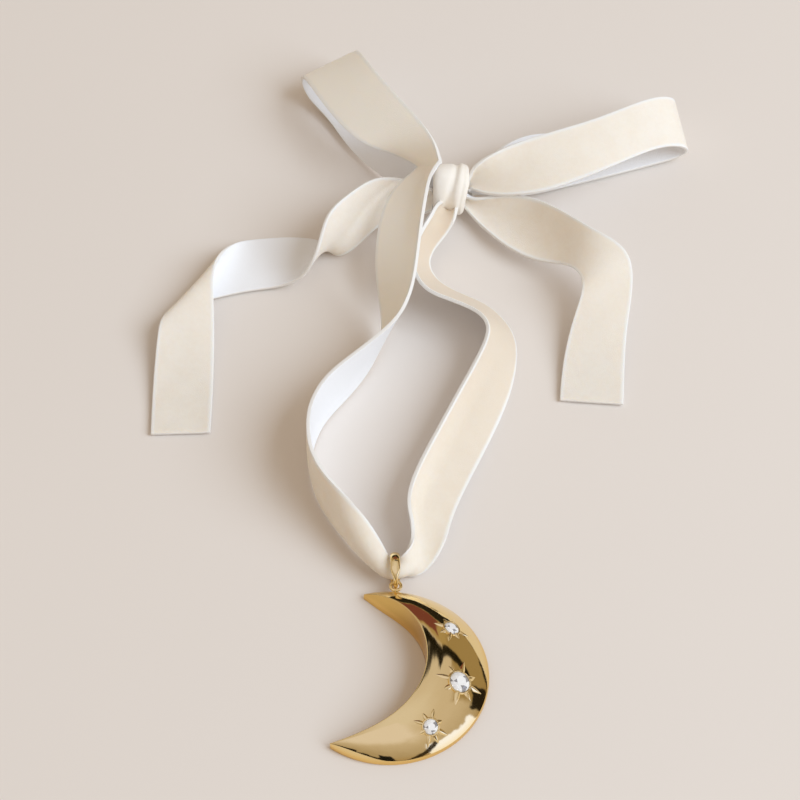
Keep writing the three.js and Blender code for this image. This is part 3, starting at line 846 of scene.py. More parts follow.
LEFT_TAIL = stations(
    (1.6, 59.6, 8.2, -90, -60, 60, 60, 0.45),
    (-4.2, 60.4, 6.6, -88, -38, 40, 40, 0.68),
    (-10, 58.6, 8.6, -84, -36, 20, 20, 0.8),
    (-14.5, 56.6, 10.4, -79, -42, 10, 10, 0.8),
    (-19.5, 51.4, 10, -66, -52, 8, 5, 0.86),
    (-24.2, 46.8, 9.2, -35, -66, 5, 0, 0.9),
    (-26.4, 43.8, 8.2, 50, -72, 0, 0, 0.95),
    (-28.2, 42, 6.6, 76, -42, 0, 0, 1.05),
    (-30.8, 42.4, 3.9, 79, -20, 0, 0, 1.1),
    (-34.5, 42.9, 1.9, 79, -7, 0, 0, 1.12),
    (-40, 43, 1, 80, -1, 0, 0, 1.12),
    (-48, 42, 1, 84, 0, 0, 0, 1.12),
    (-53.2, 40, 2, 78, 6, 0, 0, 1.12),
    (-58, 36.3, 3.8, 64, 14, 0, 0, 1.12),
    (-62, 32, 5.9, 50, 12, 0, 0, 1.15),
    (-64, 26.2, 6.4, 44, 5, 0, 0, 1.18),
    (-64, 20, 4.7, 39, 2, 0, 0, 1.16),
    (-64, 10, 2.1, 28, 0, 0, 0, 1.08),
    (-64, -2, 0.9, 14, 0, 0, 0, 1),
    (-64, -14, 0.9, 2, 0, 0, 0, 0.96),
)


@dataclass(frozen=True)
class Fold:
    """A soft groove round the knot, measured in shares of the knot's half length."""

    place: float
    width: float
    depth_share: float
    drift_share: float

    def depth(self, along: float, drift: float) -> float:
        """Returns the groove's share of the full fold depth at a place along the knot."""
        from_middle = along - self.place - drift * self.drift_share
        return self.depth_share * math.exp(-((from_middle / self.width) ** 2))


@dataclass
class Knot:
    """The wrap of ribbon drawn tight round the crossing, its edges rolled in at both ends.

    Angles are in radians. The foot is the side turned down and away from the viewer, where the wrap
    is pulled to one side and its folds are deepest.
    """

    name: str = "ribbon_knot_wrap"
    node: str = "ribbon_knot"
    centre: tuple = (7.0, 62.5, 8.4)
    half_length: float = 4.15
    half_depth: float = 6.35
    half_height: float = 7.95
    fold_depth: float = 1.0
    folds: tuple = (Fold(-0.12, 0.2, 1.0, 1.0), Fold(0.62, 0.12, 0.4, 0.3))
    fold_drift: float = 0.35
    fold_drift_angle: float = 0.6
    hem_roll: float = 1.1
    hem_return: tuple = (0.3, 0.16)
    hem_drop: float = 0.58
    hem_drop_power: float = 1.3
    fullness: float = 0.85
    unevenness: float = 0.05
    foot_angle: float = 0.75
    left_pull: float = 1.36
    foot_pinch: float = 0.34
    foot_lean: float = -0.5
    thickness: float = 0.7
    cloth_width: float = RIBBON_WIDTH
    cloth_length: float = 42.0
    columns: int = 72
    rows: int = 110
    seam_gap: float = 1e-7

    def profile(self, across: float) -> tuple[float, float]:
        """Finds one point of the wrap's lengthwise profile.

        Args:
            across: -1 at the left edge of the cloth, 1 at the right edge.

        Returns:
            Place along the wrap and radius, both as shares of the full size.
        """
        square = math.pi / 2
        full_roll = square + self.hem_roll
        roll = abs(across) * full_roll
        rolled_in = max(roll - square, 0.0)
        bend, shift = self.hem_return
        along = math.sin(min(roll, square)) ** self.fullness
        along -= bend * (1 - math.cos(rolled_in)) + shift * rolled_in
        drop = (1 - math.cos(roll)) / (1 - math.cos(full_roll))
        return math.copysign(along, across), 1.0 - self.hem_drop * drop**self.hem_drop_power

    def wrap_point(self, across: float, around: float) -> Vector:
        """Finds a point of the wrap.

        Args:
            across: -1 at the left edge of the cloth, 1 at the right edge.
            around: Angle round the wrap, 0 at the front and a quarter turn at the top.

        Returns:
            The point in metres.
        """
        along, radius = self.profile(across)
        foot = (1 + math.cos(around + self.foot_angle)) / 2
        drift = self.fold_drift * math.sin(around - self.fold_drift_angle)
        groove = sum(fold.depth(along, drift) for fold in self.folds)
        spot = Vector((along * 1.1, math.cos(around) * 0.9, math.sin(around) * 0.9 + 4.0))
        depth = self.fold_depth / self.half_height * (0.6 + 0.4 * foot)
        radius += self.unevenness * noise.noise(spot)
        radius -= depth * groove * max(1 - along**2, 0.0) ** 0.5
        pinch = 1.0 - self.foot_pinch * max(foot - 0.4, 0.0) / 0.6
        pull = pinch if along > 0 else self.left_pull
        lean = self.foot_lean * foot * (1 - along**2)
        return MM * Vector(
            (
                self.centre[0] + self.half_length * along * pull + lean,
                self.centre[1] - self.half_depth * radius * math.cos(around),
                self.centre[2] + self.half_height * radius * math.sin(around),
            )
        )

    def build(self, materials: list[bpy.types.Material]) -> bpy.types.Object:
        """Builds the wrap.

        Args:
            materials: Pile, back and edge materials.

        Returns:
            The finished object.
        """
        shape = grid_from(self.columns, self.rows)
        lay_pattern(shape, self.cloth_length / self.cloth_width)
        for vert in shape.verts:
            vert.co = self.wrap_point(vert.co.x, vert.co.y * math.pi)
        bmesh.ops.remove_doubles(shape, verts=shape.verts[:], dist=self.seam_gap)
        face_outwards(shape)
        piece = finish_mesh(self.name, shape, materials, sharp_angle=80.0)
        give_thickness(piece, self.thickness, -1.0)
        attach(piece, "ribbon")
        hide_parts(self.node)
        return piece


@dataclass
class Crescent:
    """Domed crescent casting: its outline, its face and its fine mesh.

    Two circles, spacing apart, bound it, and its own origin is the middle of the outer one. Faces
    near the inner circle that look at its middle, by wall_margin and wall_facing, are the inner
    wall. Faces whose middle is lower than underside_top belong to the recess and stay closed.
    """

    name: str = "crescent_shell"
    node: str = "moon_casting"
    centre: tuple = (-10.0392, -87.2546)
    turn: float = -10.5
    outer_radius: float = 24.2
    inner_radius: float = 21.7
    spacing: float = 12.9
    mid_height: float = 8.4
    tip_height: float = 1.7
    height_power: float = 3.2
    rim_height: float = 1.3
    dome_power: float = 2.3
    horn_swell: float = 0.35
    horn_foot_swell: float = 2.0
    horn_swell_power: float = 2.2
    tip_width: float = 0.4
    edge_round: float = 0.22
    shoulder: float = 0.25
    foot_round: float = 0.2
    recess_depth: float = 1.02
    recess_ledge: float = 0.9
    recess_least_width: float = 3.2
    recess_fade: float = 1.5
    wall_steps: int = 5
    edge_steps: int = 5
    face_steps: int = 48
    shoulder_steps: int = 7
    rim_steps: int = 3
    steps_along: int = 340
    tip_halvings: int = 30
    face_halvings: int = 40
    seam_gap: float = 1e-5
    horn_from: float = 15.0
    wall_margin: float = 0.5
    wall_facing: float = -0.75
    underside_top: float = 2.5

    def frame(self) -> Matrix:
        """Returns the matrix from the crescent's own millimetres to the row frame in metres."""
        place = Matrix.Translation((self.centre[0] * MM, self.centre[1] * MM, 0.0))
        return place @ Matrix.Rotation(math.radians(self.turn), 4, "Z") @ Matrix.Scale(MM, 4)

    def tip_angles(self) -> tuple[float, float]:
        """Returns the horn tips' angles about the inner and the outer circle."""
        sides = self.spacing**2 + self.inner_radius**2 - self.outer_radius**2
        cosine = sides / (2 * self.spacing * self.inner_radius)
        inner = math.acos(cosine)
        x = self.inner_radius * cosine - self.spacing
        return inner, math.atan2(self.inner_radius * math.sin(inner), x)

    def edges(self, place: float, swell: float | None = None) -> tuple[Vector, Vector]:
        """Finds the inner and outer edge points.

        Args:
            place: -1 at one horn tip, 1 at the other.
            swell: How far the inner edge stands into the gap at the horns, in millimetres.

        Returns:
            The two points in the crescent's own plane, in millimetres.
        """
        inner_tip, outer_tip = self.tip_angles()
        stand = self.horn_swell if swell is None else swell
        reach = self.inner_radius - stand * math.sin(math.pi * abs(place) ** self.horn_swell_power)
        turn = place * inner_tip
        inner = Vector((reach * math.cos(turn) - self.spacing, reach * math.sin(turn)))
        turn = place * outer_tip
        outer = Vector((self.outer_radius * math.cos(turn), self.outer_radius * math.sin(turn)))
        return inner, outer

    def edge_height(self, place: float) -> float:
        """Returns the height of the crisp inner edge at a place along the crescent."""
        rise = 1 - abs(place) ** self.height_power
        return self.tip_height + (self.mid_height - self.tip_height) * rise

    def face_height(self, place: float, across: float) -> float:
        """Finds the height of the domed face.

        Args:
            place: -1 to 1 along the crescent.
            across: 0 at the inner edge, 1 at the outer edge.

        Returns:
            The height in millimetres.
        """
        rise = max(1 - across**self.dome_power, 0.0)
        return self.rim_height + (self.edge_height(place) - self.rim_height) * rise

    def blunt_place(self) -> float:
        """Returns the place where the crescent is as wide as its blunt tips."""
        low, high = 0.5, 1.0
        for _ in range(self.tip_halvings):
            middle = (low + high) / 2
            inner, outer = self.edges(middle)
            if (outer - inner).length > self.tip_width:
                low = middle
            else:
                high = middle
        return low

    def face_above(self, x: float, y: float) -> Vector:
        """Finds the point of the face over a spot.

        Args:
            x: Own x in millimetres.
            y: Own y in millimetres.

        Returns:
            The point in the crescent's own millimetres.
        """
        low, high = -0.98, 0.98
        spot = Vector((x, y))
        for _ in range(self.face_halvings):
            middle = (low + high) / 2
            inner, outer = self.edges(middle)
            line, reach = outer - inner, spot - inner
            if line.x * reach.y - line.y * reach.x > 0:
                low = middle
            else:
                high = middle
        inner, outer = self.edges(low)
        across = min((spot - inner).length / (outer - inner).length, 1.0)
        return Vector((x, y, self.face_height(low, across)))

    def face_normal(self, x: float, y: float) -> Vector:
        """Finds the face's normal over a spot.

        Args:
            x: Own x in millimetres.
            y: Own y in millimetres.

        Returns:
            The normal in the crescent's own frame.
        """
        step = 0.2
        slope_x = (self.face_above(x + step, y).z - self.face_above(x - step, y).z) / (2 * step)
        slope_y = (self.face_above(x, y + step).z - self.face_above(x, y - step).z) / (2 * step)
        return Vector((-slope_x, -slope_y, 1.0)).normalized()

    def section(self, place: float) -> list[tuple[float, float]]:
        """Lists one cross-section, from the inner wall's foot over the face and back underneath.

        Args:
            place: -1 to 1 along the crescent.

        Returns:
            Pairs of distance across in millimetres and height in millimetres.
        """
        inner, outer = self.edges(place)
        width = (outer - inner).length
        top = self.face_height(place, 0.0)
        corner = min(self.edge_round, width / 4)
        foot = min(self.foot_round, width / 6)
        nick = 0.3 * foot
        outward = (outer - inner) / width
        spread = (self.edges(place, self.horn_foot_swell)[0] - inner).dot(outward)
        wall = top - corner
        lean = spread / max(wall, 0.1)
        points = []
        for i in range(self.wall_steps + 1):
            height = foot + (wall - foot) * i / self.wall_steps
            points.append((spread - lean * height, height))
        for i in range(1, self.edge_steps):
            angle = math.pi / 2 * i / self.edge_steps
            points.append((corner * (1 - math.cos(angle)), top - corner * (1 - math.sin(angle))))
        start, end = corner / width, 1 - min(self.shoulder / width, 0.2)
        for i in range(self.face_steps + 1):
            share = start + (end - start) * i / self.face_steps
            points.append((share * width, self.face_height(place, share)))
        points += self._shoulder_points(points[-2], points[-1], width)
        rim = points[-1][1]
        for i in range(1, self.rim_steps + 1):
            points.append((width, rim + (foot - rim) * i / self.rim_steps))
        points += [(width - nick, nick), (width - foot, 0.0)]
        ledge = min(self.recess_ledge, width * 0.3)
        room = (width - self.recess_least_width) / self.recess_fade
        depth = self.recess_depth * max(0.0, min(room, 1.0))
        points += [(width - ledge, 0.0), (width - ledge, depth), (ledge, depth), (ledge, 0.0)]
        points += [(spread + foot, 0.0), (spread + nick, nick)]
        return points

    def _shoulder_points(
        self, previous: tuple[float, float], last: tuple[float, float], width: float
    ) -> list[tuple[float, float]]:
        """Rounds the face over into the upright rim.

        Args:
            previous: The face's last point but one.
            last: The face's last point.
            width: The crescent's width here in millimetres.

        Returns:
            The points of the rounding, as pairs of distance across and height.
        """
        before = Vector(last)
        fall = (previous[1] - before.y) / (before.x - previous[0]) * (width - before.x)
        crest = Vector((width, before.y - fall))
        after = Vector((width, crest.y - min(self.shoulder, 0.5 * crest.y)))
        points = []
        for i in range(1, self.shoulder_steps + 1):
            t = i / self.shoulder_steps
            points.append(tuple(before * (1 - t) ** 2 + crest * 2 * t * (1 - t) + after * t**2))
        return points

    def build(
        self,
        gold: bpy.types.Material,
        wall_gold: bpy.types.Material,
        seats: list[tuple[Vector, float]],
    ) -> bpy.types.Object:
        """Builds the shell with an opening under each crystal.

        Args:
            gold: The plating.
            wall_gold: The deeper gold of the inner wall, a painted reflection of the shadow it
                mirrors.
            seats: Centre and radius of each seat in the crescent's own millimetres.

        Returns:
            The finished object.
        """
        count = len(self.section(0.0))
        along = self.steps_along
        shape = grid_from(along, count)
        reach = self.blunt_place()
        cache: dict[int, tuple[Vector, Vector, list[tuple[float, float]]]] = {}
        for vert in shape.verts:
            step = round((vert.co.x + 1) / 2 * along)
            if step not in cache:
                place = reach * math.sin(math.pi / 2 * (2 * step / along - 1))
                inner, outer = self.edges(place)
                cache[step] = (inner, (outer - inner).normalized(), self.section(place))
            inner, sideways, section = cache[step]
            distance, height = section[round((vert.co.y + 1) / 2 * count) % count]
            flat = inner + sideways * distance
            vert.co = Vector((flat.x, flat.y, height))
        bmesh.ops.remove_doubles(shape, verts=shape.verts[:], dist=self.seam_gap)
        self._open_seats(shape, seats)
        open_edges = [edge for edge in shape.edges if edge.is_boundary]
        ends = [edge for edge in open_edges if abs(edge.verts[0].co.y) > self.horn_from]
        bmesh.ops.holes_fill(shape, edges=ends, sides=0)
        face_outwards(shape)
        for face in shape.faces:
            if self._on_inner_wall(face):
                face.material_index = GoldTone.INNER_WALL.value
        move(shape, self.frame())
        piece = finish_mesh(self.name, shape, [gold, wall_gold], sharp_angle=38.0)
        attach(piece, "moon")
        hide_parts(self.node)
        return piece

    def _on_inner_wall(self, face: bmesh.types.BMFace) -> bool:
        """Tells whether a face belongs to the wall along the crescent's inner edge.

        Args:
            face: A face of the shell in the crescent's own millimetres.

        Returns:
            True on the wall.
        """
        middle = face.calc_center_median()
        away = Vector((middle.x + self.spacing, middle.y, 0.0))
        near = abs(away.length - self.inner_radius) < self.horn_foot_swell + self.wall_margin
        return near and middle.z > 0 and face.normal.dot(away.normalized()) < self.wall_facing

    def _open_seats(self, shape: bmesh.types.BMesh, seats: list[tuple[Vector, float]]) -> None:
        """Takes the face away under each crystal.

        Args:
            shape: The shell in the crescent's own millimetres.
            seats: Centre and radius of each seat.
        """
        covered = []
        for face in shape.faces:
            middle = face.calc_center_median()
            near = any((middle - centre).length < radius for centre, radius in seats)
            if near and middle.z > self.underside_top:
                covered.append(face)
        bmesh.ops.delete(shape, geom=covered, context="FACES")


@dataclass
class StarSetting:
    """A crystal in a raised collar with eight raised rays on the crescent's face.

    The crystal's cut is given as shares: widths of its radius, the table's and the pavilion's
    heights of its diameter, and the height of the crown's break of the crown. Crown facets whose
    middle lies in a shaded sector, in degrees, carry a painted dark reflection. Each ray starts
    ray_lap inside the girdle, and its sides and tip sink into the face.
    """

    label: str
    node: str
    crescent: Crescent
    place: float
    across: float
    diameter: float
    long_ray: float
    short_ray: float
    ray_width: float
    ray_height: float = 0.5
    collar_width: float = 0.42
    girdle_proud: float = 0.15
    girdle_height: float = 0.25
    rim_margin: float = 1.0
    ray_lap: float = 0.1
    ray_taper: float = 0.75
    ray_belly: float = 2.2
    ray_fall: float = 0.9
    ray_roundness: float = 1.35
    side_sink: float = 0.12
    tip_sink: float = 0.1
    sink_power: float = 6
    ray_grid: tuple = (14, 8)
    seat_clearance: float = 0.12
    collar_gap: float = 0.03
    collar_depth: float = 0.7
    collar_lap: float = 0.02
    collar_rise: float = 0.2
    collar_skirt: float = 0.12
    collar_steps: int = 9
    collar_sides: int = 64
    table_width: float = 0.5
    table_height: float = 0.17
    crown_break: tuple = (0.80, 0.56)
    pavilion_break: tuple = (0.36, 0.21)
    culet: tuple = (0.05, 0.3)
    foil_gap: float = 0.04
    foil_tip: float = 0.03
    shaded_sectors: tuple = ((22, 72), (288, 315), (190, 204))

    def spot(self) -> tuple[float, float]:
        """Returns the setting's own x and y on the crescent in millimetres."""
        inner, outer = self.crescent.edges(self.place)
        spot = inner.lerp(outer, self.across)
        return spot.x, spot.y

    def seat(self) -> tuple[Vector, float]:
        """Returns the centre and radius of the opening in the face."""
        x, y = self.spot()
        return self.crescent.face_above(x, y), self.diameter / 2 + self.seat_clearance

    def setting_frame(self) -> Matrix:
        """Returns the matrix from the setting's own millimetres to the row frame."""
        x, y = self.spot()
        normal = self.crescent.face_normal(x, y)
        point = self.crescent.face_above(x, y) + normal * (self.girdle_proud - self.girdle_height)
        turn = Vector((0, 0, 1)).rotation_difference(normal).to_matrix().to_4x4()
        return self.crescent.frame() @ Matrix.Translation(point) @ turn

    def build_crystal(
        self, bright: bpy.types.Material, shaded: bpy.types.Material
    ) -> bpy.types.Object:
        """Builds the cut crystal.

        Args:
            bright: Material of the facets that send light back.
            shaded: Material of the few facets with a painted dark reflection.

        Returns:
            The finished object.
        """
        girdle, rise = self.girdle_height, self.diameter * self.table_height
        levels = (
            (self.table_width, girdle + rise, 8, 0.0),
            (self.crown_break[0], girdle + rise * self.crown_break[1], 8, 0.5),
            (1.0, girdle, 16, 0.0),
            (1.0, 0.0, 16, 0.0),
            (self.pavilion_break[0], -self.diameter * self.pavilion_break[1], 8, 0.5),
            (self.culet[0], -self.diameter * self.culet[1], 8, 0.0),
        )
        shape = bmesh.new()
        for width, height, sides, offset in levels:
            turn = Matrix.Rotation(2 * math.pi / sides * offset, 4, "Z")
            place = Matrix.Translation((0, 0, height)) @ turn
            radius = self.diameter / 2 * width
            bmesh.ops.create_circle(shape, segments=sides, radius=radius, matrix=place)
        bmesh.ops.convex_hull(shape, input=shape.verts[:])
        loose = [edge for edge in shape.edges if not edge.link_faces]
        bmesh.ops.delete(shape, geom=loose, context="EDGES")
        bmesh.ops.dissolve_limit(
            shape,
            angle_limit=math.radians(0.5),
            verts=shape.verts[:],
            edges=shape.edges[:],
        )
        face_outwards(shape)
        for face in shape.faces:
            middle = face.calc_center_median()
            sector = math.degrees(math.atan2(middle.y, middle.x)) % 360
            inside = any(low < sector < high for low, high in self.shaded_sectors)
            if inside and middle.z > girdle:
                face.material_index = FacetTone.SHADED.value
        move(shape, self.setting_frame())
        piece = finish_mesh(f"{self.label}_crystal", shape, [bright, shaded], sharp_angle=None)
        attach(piece, "moon")
        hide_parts(self.node)
        return piece

    def build_foil(self, foil: bpy.types.Material) -> bpy.types.Object:
        """Builds the foil cone behind the crystal.

        Args:
            foil: The foil material.

        Returns:
            The finished object.
        """
        depth = self.diameter * self.culet[1]
        shape = bmesh.new()
        bmesh.ops.create_cone(
            shape,
            cap_ends=False,
            segments=16,
            radius1=self.diameter * self.foil_tip,
            radius2=self.diameter / 2 + self.foil_gap,
            depth=depth,
            matrix=Matrix.Translation((0, 0, -depth / 2 - self.foil_gap)),
        )
        move(shape, self.setting_frame())
        piece = finish_mesh(f"{self.label}_foil", shape, [foil], sharp_angle=None)
        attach(piece, "moon")
        return piece

    def build_collar(self, gold: bpy.types.Material) -> bpy.types.Object:
        """Builds the collar and its eight rays.

        Args:
            gold: The plating.

        Returns:
            The finished object.
        """
        shape = bmesh.new()
        self._spin_collar(shape)
        move(shape, self.setting_frame())
        for index in range(8):
            self._add_ray(shape, index)
        face_outwards(shape)
        piece = finish_mesh(f"{self.label}_star", shape, [gold], sharp_angle=50.0)
        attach(piece, "moon")
        return piece

    def _spin_collar(self, shape: bmesh.types.BMesh) -> None:
        """Spins the rounded collar round the crystal.

        Args:
            shape: The bmesh to add to, in the setting's own millimetres.
        """
        inner = self.diameter / 2 + self.collar_gap
        outer = inner + self.collar_width + self.collar_skirt
        verts = [shape.verts.new((inner, 0, -self.collar_depth))]
        for i in range(self.collar_steps + 1):
            angle = math.pi * (1 - i / self.collar_steps)
            across = inner + self.collar_width / 2 * (1 + math.cos(angle))
            height = self.girdle_height - self.collar_lap + self.collar_rise * math.sin(angle)
            verts.append(shape.verts.new((across, 0, height)))
        verts.append(shape.verts.new((outer, 0, -self.collar_depth)))
        edges = [shape.edges.new(pair) for pair in zip(verts, verts[1:])]
        spin_round(shape, verts + edges, self.collar_sides)

    def _add_ray(self, shape: bmesh.types.BMesh, index: int) -> None:
        """Adds one tapered ray that follows the face.

        Args:
            shape: The bmesh to add to, in the row frame.
            index: Which of the eight rays, counted from the crescent's own x.
        """
        x, y = self.spot()
        angle = index * math.pi / 4
        direction = Vector((math.cos(angle), math.sin(angle), 0.0))
        sideways = Vector((-direction.y, direction.x, 0.0))
        wanted = self.long_ray if index % 2 == 0 else self.short_ray
        along = x * direction.x + y * direction.y
        limit = self.crescent.outer_radius - self.rim_margin
        reach = min(wanted, math.sqrt(along**2 - x**2 - y**2 + limit**2) - along)
        root = self.diameter / 2 - self.ray_lap
        frame = self.crescent.frame()
        grid = grid_from(*self.ray_grid)
        for vert in grid.verts:
            share, side = (vert.co.x + 1) / 2, vert.co.y
            distance = root + (reach - root) * share
            taper = (1 - share) ** self.ray_taper
            half = self.ray_width / 2 * taper * (0.75 + self.ray_belly * share * (1 - share))
            ridge = self.ray_height * (1 - share) ** self.ray_fall
            ridge *= 1 - abs(side) ** self.ray_roundness
            flat = Vector((x, y, 0)) + direction * distance + sideways * (half * side)
            point = self.crescent.face_above(flat.x, flat.y)
            normal = self.crescent.face_normal(flat.x, flat.y)
            sink = self.side_sink * abs(side) ** self.sink_power
            sink += self.tip_sink * share**self.sink_power
            vert.co = frame @ (point + normal * (ridge - sink))
        mesh = bpy.data.meshes.new("ray")
        grid.to_mesh(mesh)
        grid.free()
        shape.from_mesh(mesh)
        bpy.data.meshes.remove(mesh)


@dataclass
class HangingEye:
    """Eye cast on the crescent's outer edge, with its short neck."""

    name: str = "hanging_eye"
    centre: tuple = (-8.5453, -62.7574, 3.6)
    mean_radius: float = 1.28
    wire: float = 0.8
    outward: float = 86.5
    neck_width: float = 1.8
    neck_taper: float = 0.84
    neck_length: float = 2.0
    wire_sides: int = 20
    ring_steps: int = 56

    def build(self, gold: bpy.types.Material) -> bpy.types.Object:
        """Builds the eye.

        Args:
            gold: The plating.

        Returns:
            The finished object.
        """
        shape = bmesh.new()
        spin_wire(shape, self.mean_radius, self.wire, self.wire_sides, self.ring_steps)
        move(shape, Matrix.Translation(self.centre))
        angle = math.radians(self.outward)
        direction = Vector((math.cos(angle), math.sin(angle), 0.0))
        start = Vector(self.centre) - direction * (self.mean_radius + self.neck_length / 2)
        turn = Vector((0, 0, 1)).rotation_difference(direction).to_matrix().to_4x4()
        bmesh.ops.create_cone(
            shape,
            cap_ends=True,
            segments=28,
            radius1=self.neck_width / 2,
            radius2=self.neck_width / 2 * self.neck_taper,
            depth=self.neck_length,
            matrix=Matrix.Translation(start - Vector((0, 0, self.wire / 2))) @ turn,
        )
        move(shape, Matrix.Scale(MM, 4))
        face_outwards(shape)
        piece = finish_mesh(self.name, shape, [gold])
        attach(piece, "moon")
        return piece


@dataclass
class BailRing:
    """Closed band ring through the eye and the gathered ribbon.

    It is a plain wire up to narrow_angle from the eye and has its full width from wide_angle on.
    """

    name: str = "bail_ring_polished"
    node: str = "bail_ring"
    centre: tuple = (-8.68, -58.9, 4.65)
    mean_radius: float = 4.0
    wire: float = 1.2
    band_width: float = 2.4
    narrow_angle: float = 40.0
    wide_angle: float = 80.0
    turn: float = 2.0
    eye_height: float = 3.6
    wire_sides: int = 28
    ring_steps: int = 144

    def half_width(self, from_eye: float) -> float:
        """Finds half the band's width.

        Args:
            from_eye: Angle round the ring from the hanging eye, in degrees.

        Returns:
            The half width in millimetres.
        """
        widening = eased(from_eye, self.narrow_angle, self.wide_angle)
        return (self.wire + (self.band_width - self.wire) * widening) / 2

    def build(self, gold: bpy.types.Material) -> bpy.types.Object:
        """Builds the ring.

        Args:
            gold: The plating.

        Returns:
            The finished object.
        """
        shape = bmesh.new()
        spin_wire(shape, self.mean_radius, self.wire, self.wire_sides, self.ring_steps)
        upright = Matrix(((0, 0, 1), (1, 0, 0), (0, 1, 0))).to_4x4()
        move(shape, upright)
        toward_eye = -math.pi / 2 - math.acos((self.centre[2] - self.eye_height) / self.mean_radius)
        for vert in shape.verts:
            angle = math.atan2(vert.co.z, vert.co.y) - toward_eye
            from_eye = abs(math.degrees(math.atan2(math.sin(angle), math.cos(angle))))
            vert.co.x *= self.half_width(from_eye) / (self.wire / 2)
        turned = Matrix.Rotation(math.radians(self.turn), 4, "Z")
        place = Matrix.Scale(MM, 4) @ Matrix.Translation(self.centre) @ turned
        move(shape, place)
        face_outwards(shape)
        piece = finish_mesh(self.name, shape, [gold], sharp_angle=60.0)
        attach(piece, "ring")
        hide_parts(self.node)
        return piece


@dataclass(frozen=True)
class RoomShape:
    """One soft-edged shape in the room that the gold mirrors, placed from the reflections.

    Turn and up are its limits in degrees: turn counts from +X towards +Y, and up from the horizon,
    as it is at the first turn limit. Climb is how many degrees it rises for each degree of turn.
    The names say what such a shape could be, not what was seen.
    """

    name: str
    turn: tuple
    up: tuple
    colour: tuple
    softness: float
    climb: float = 0.0


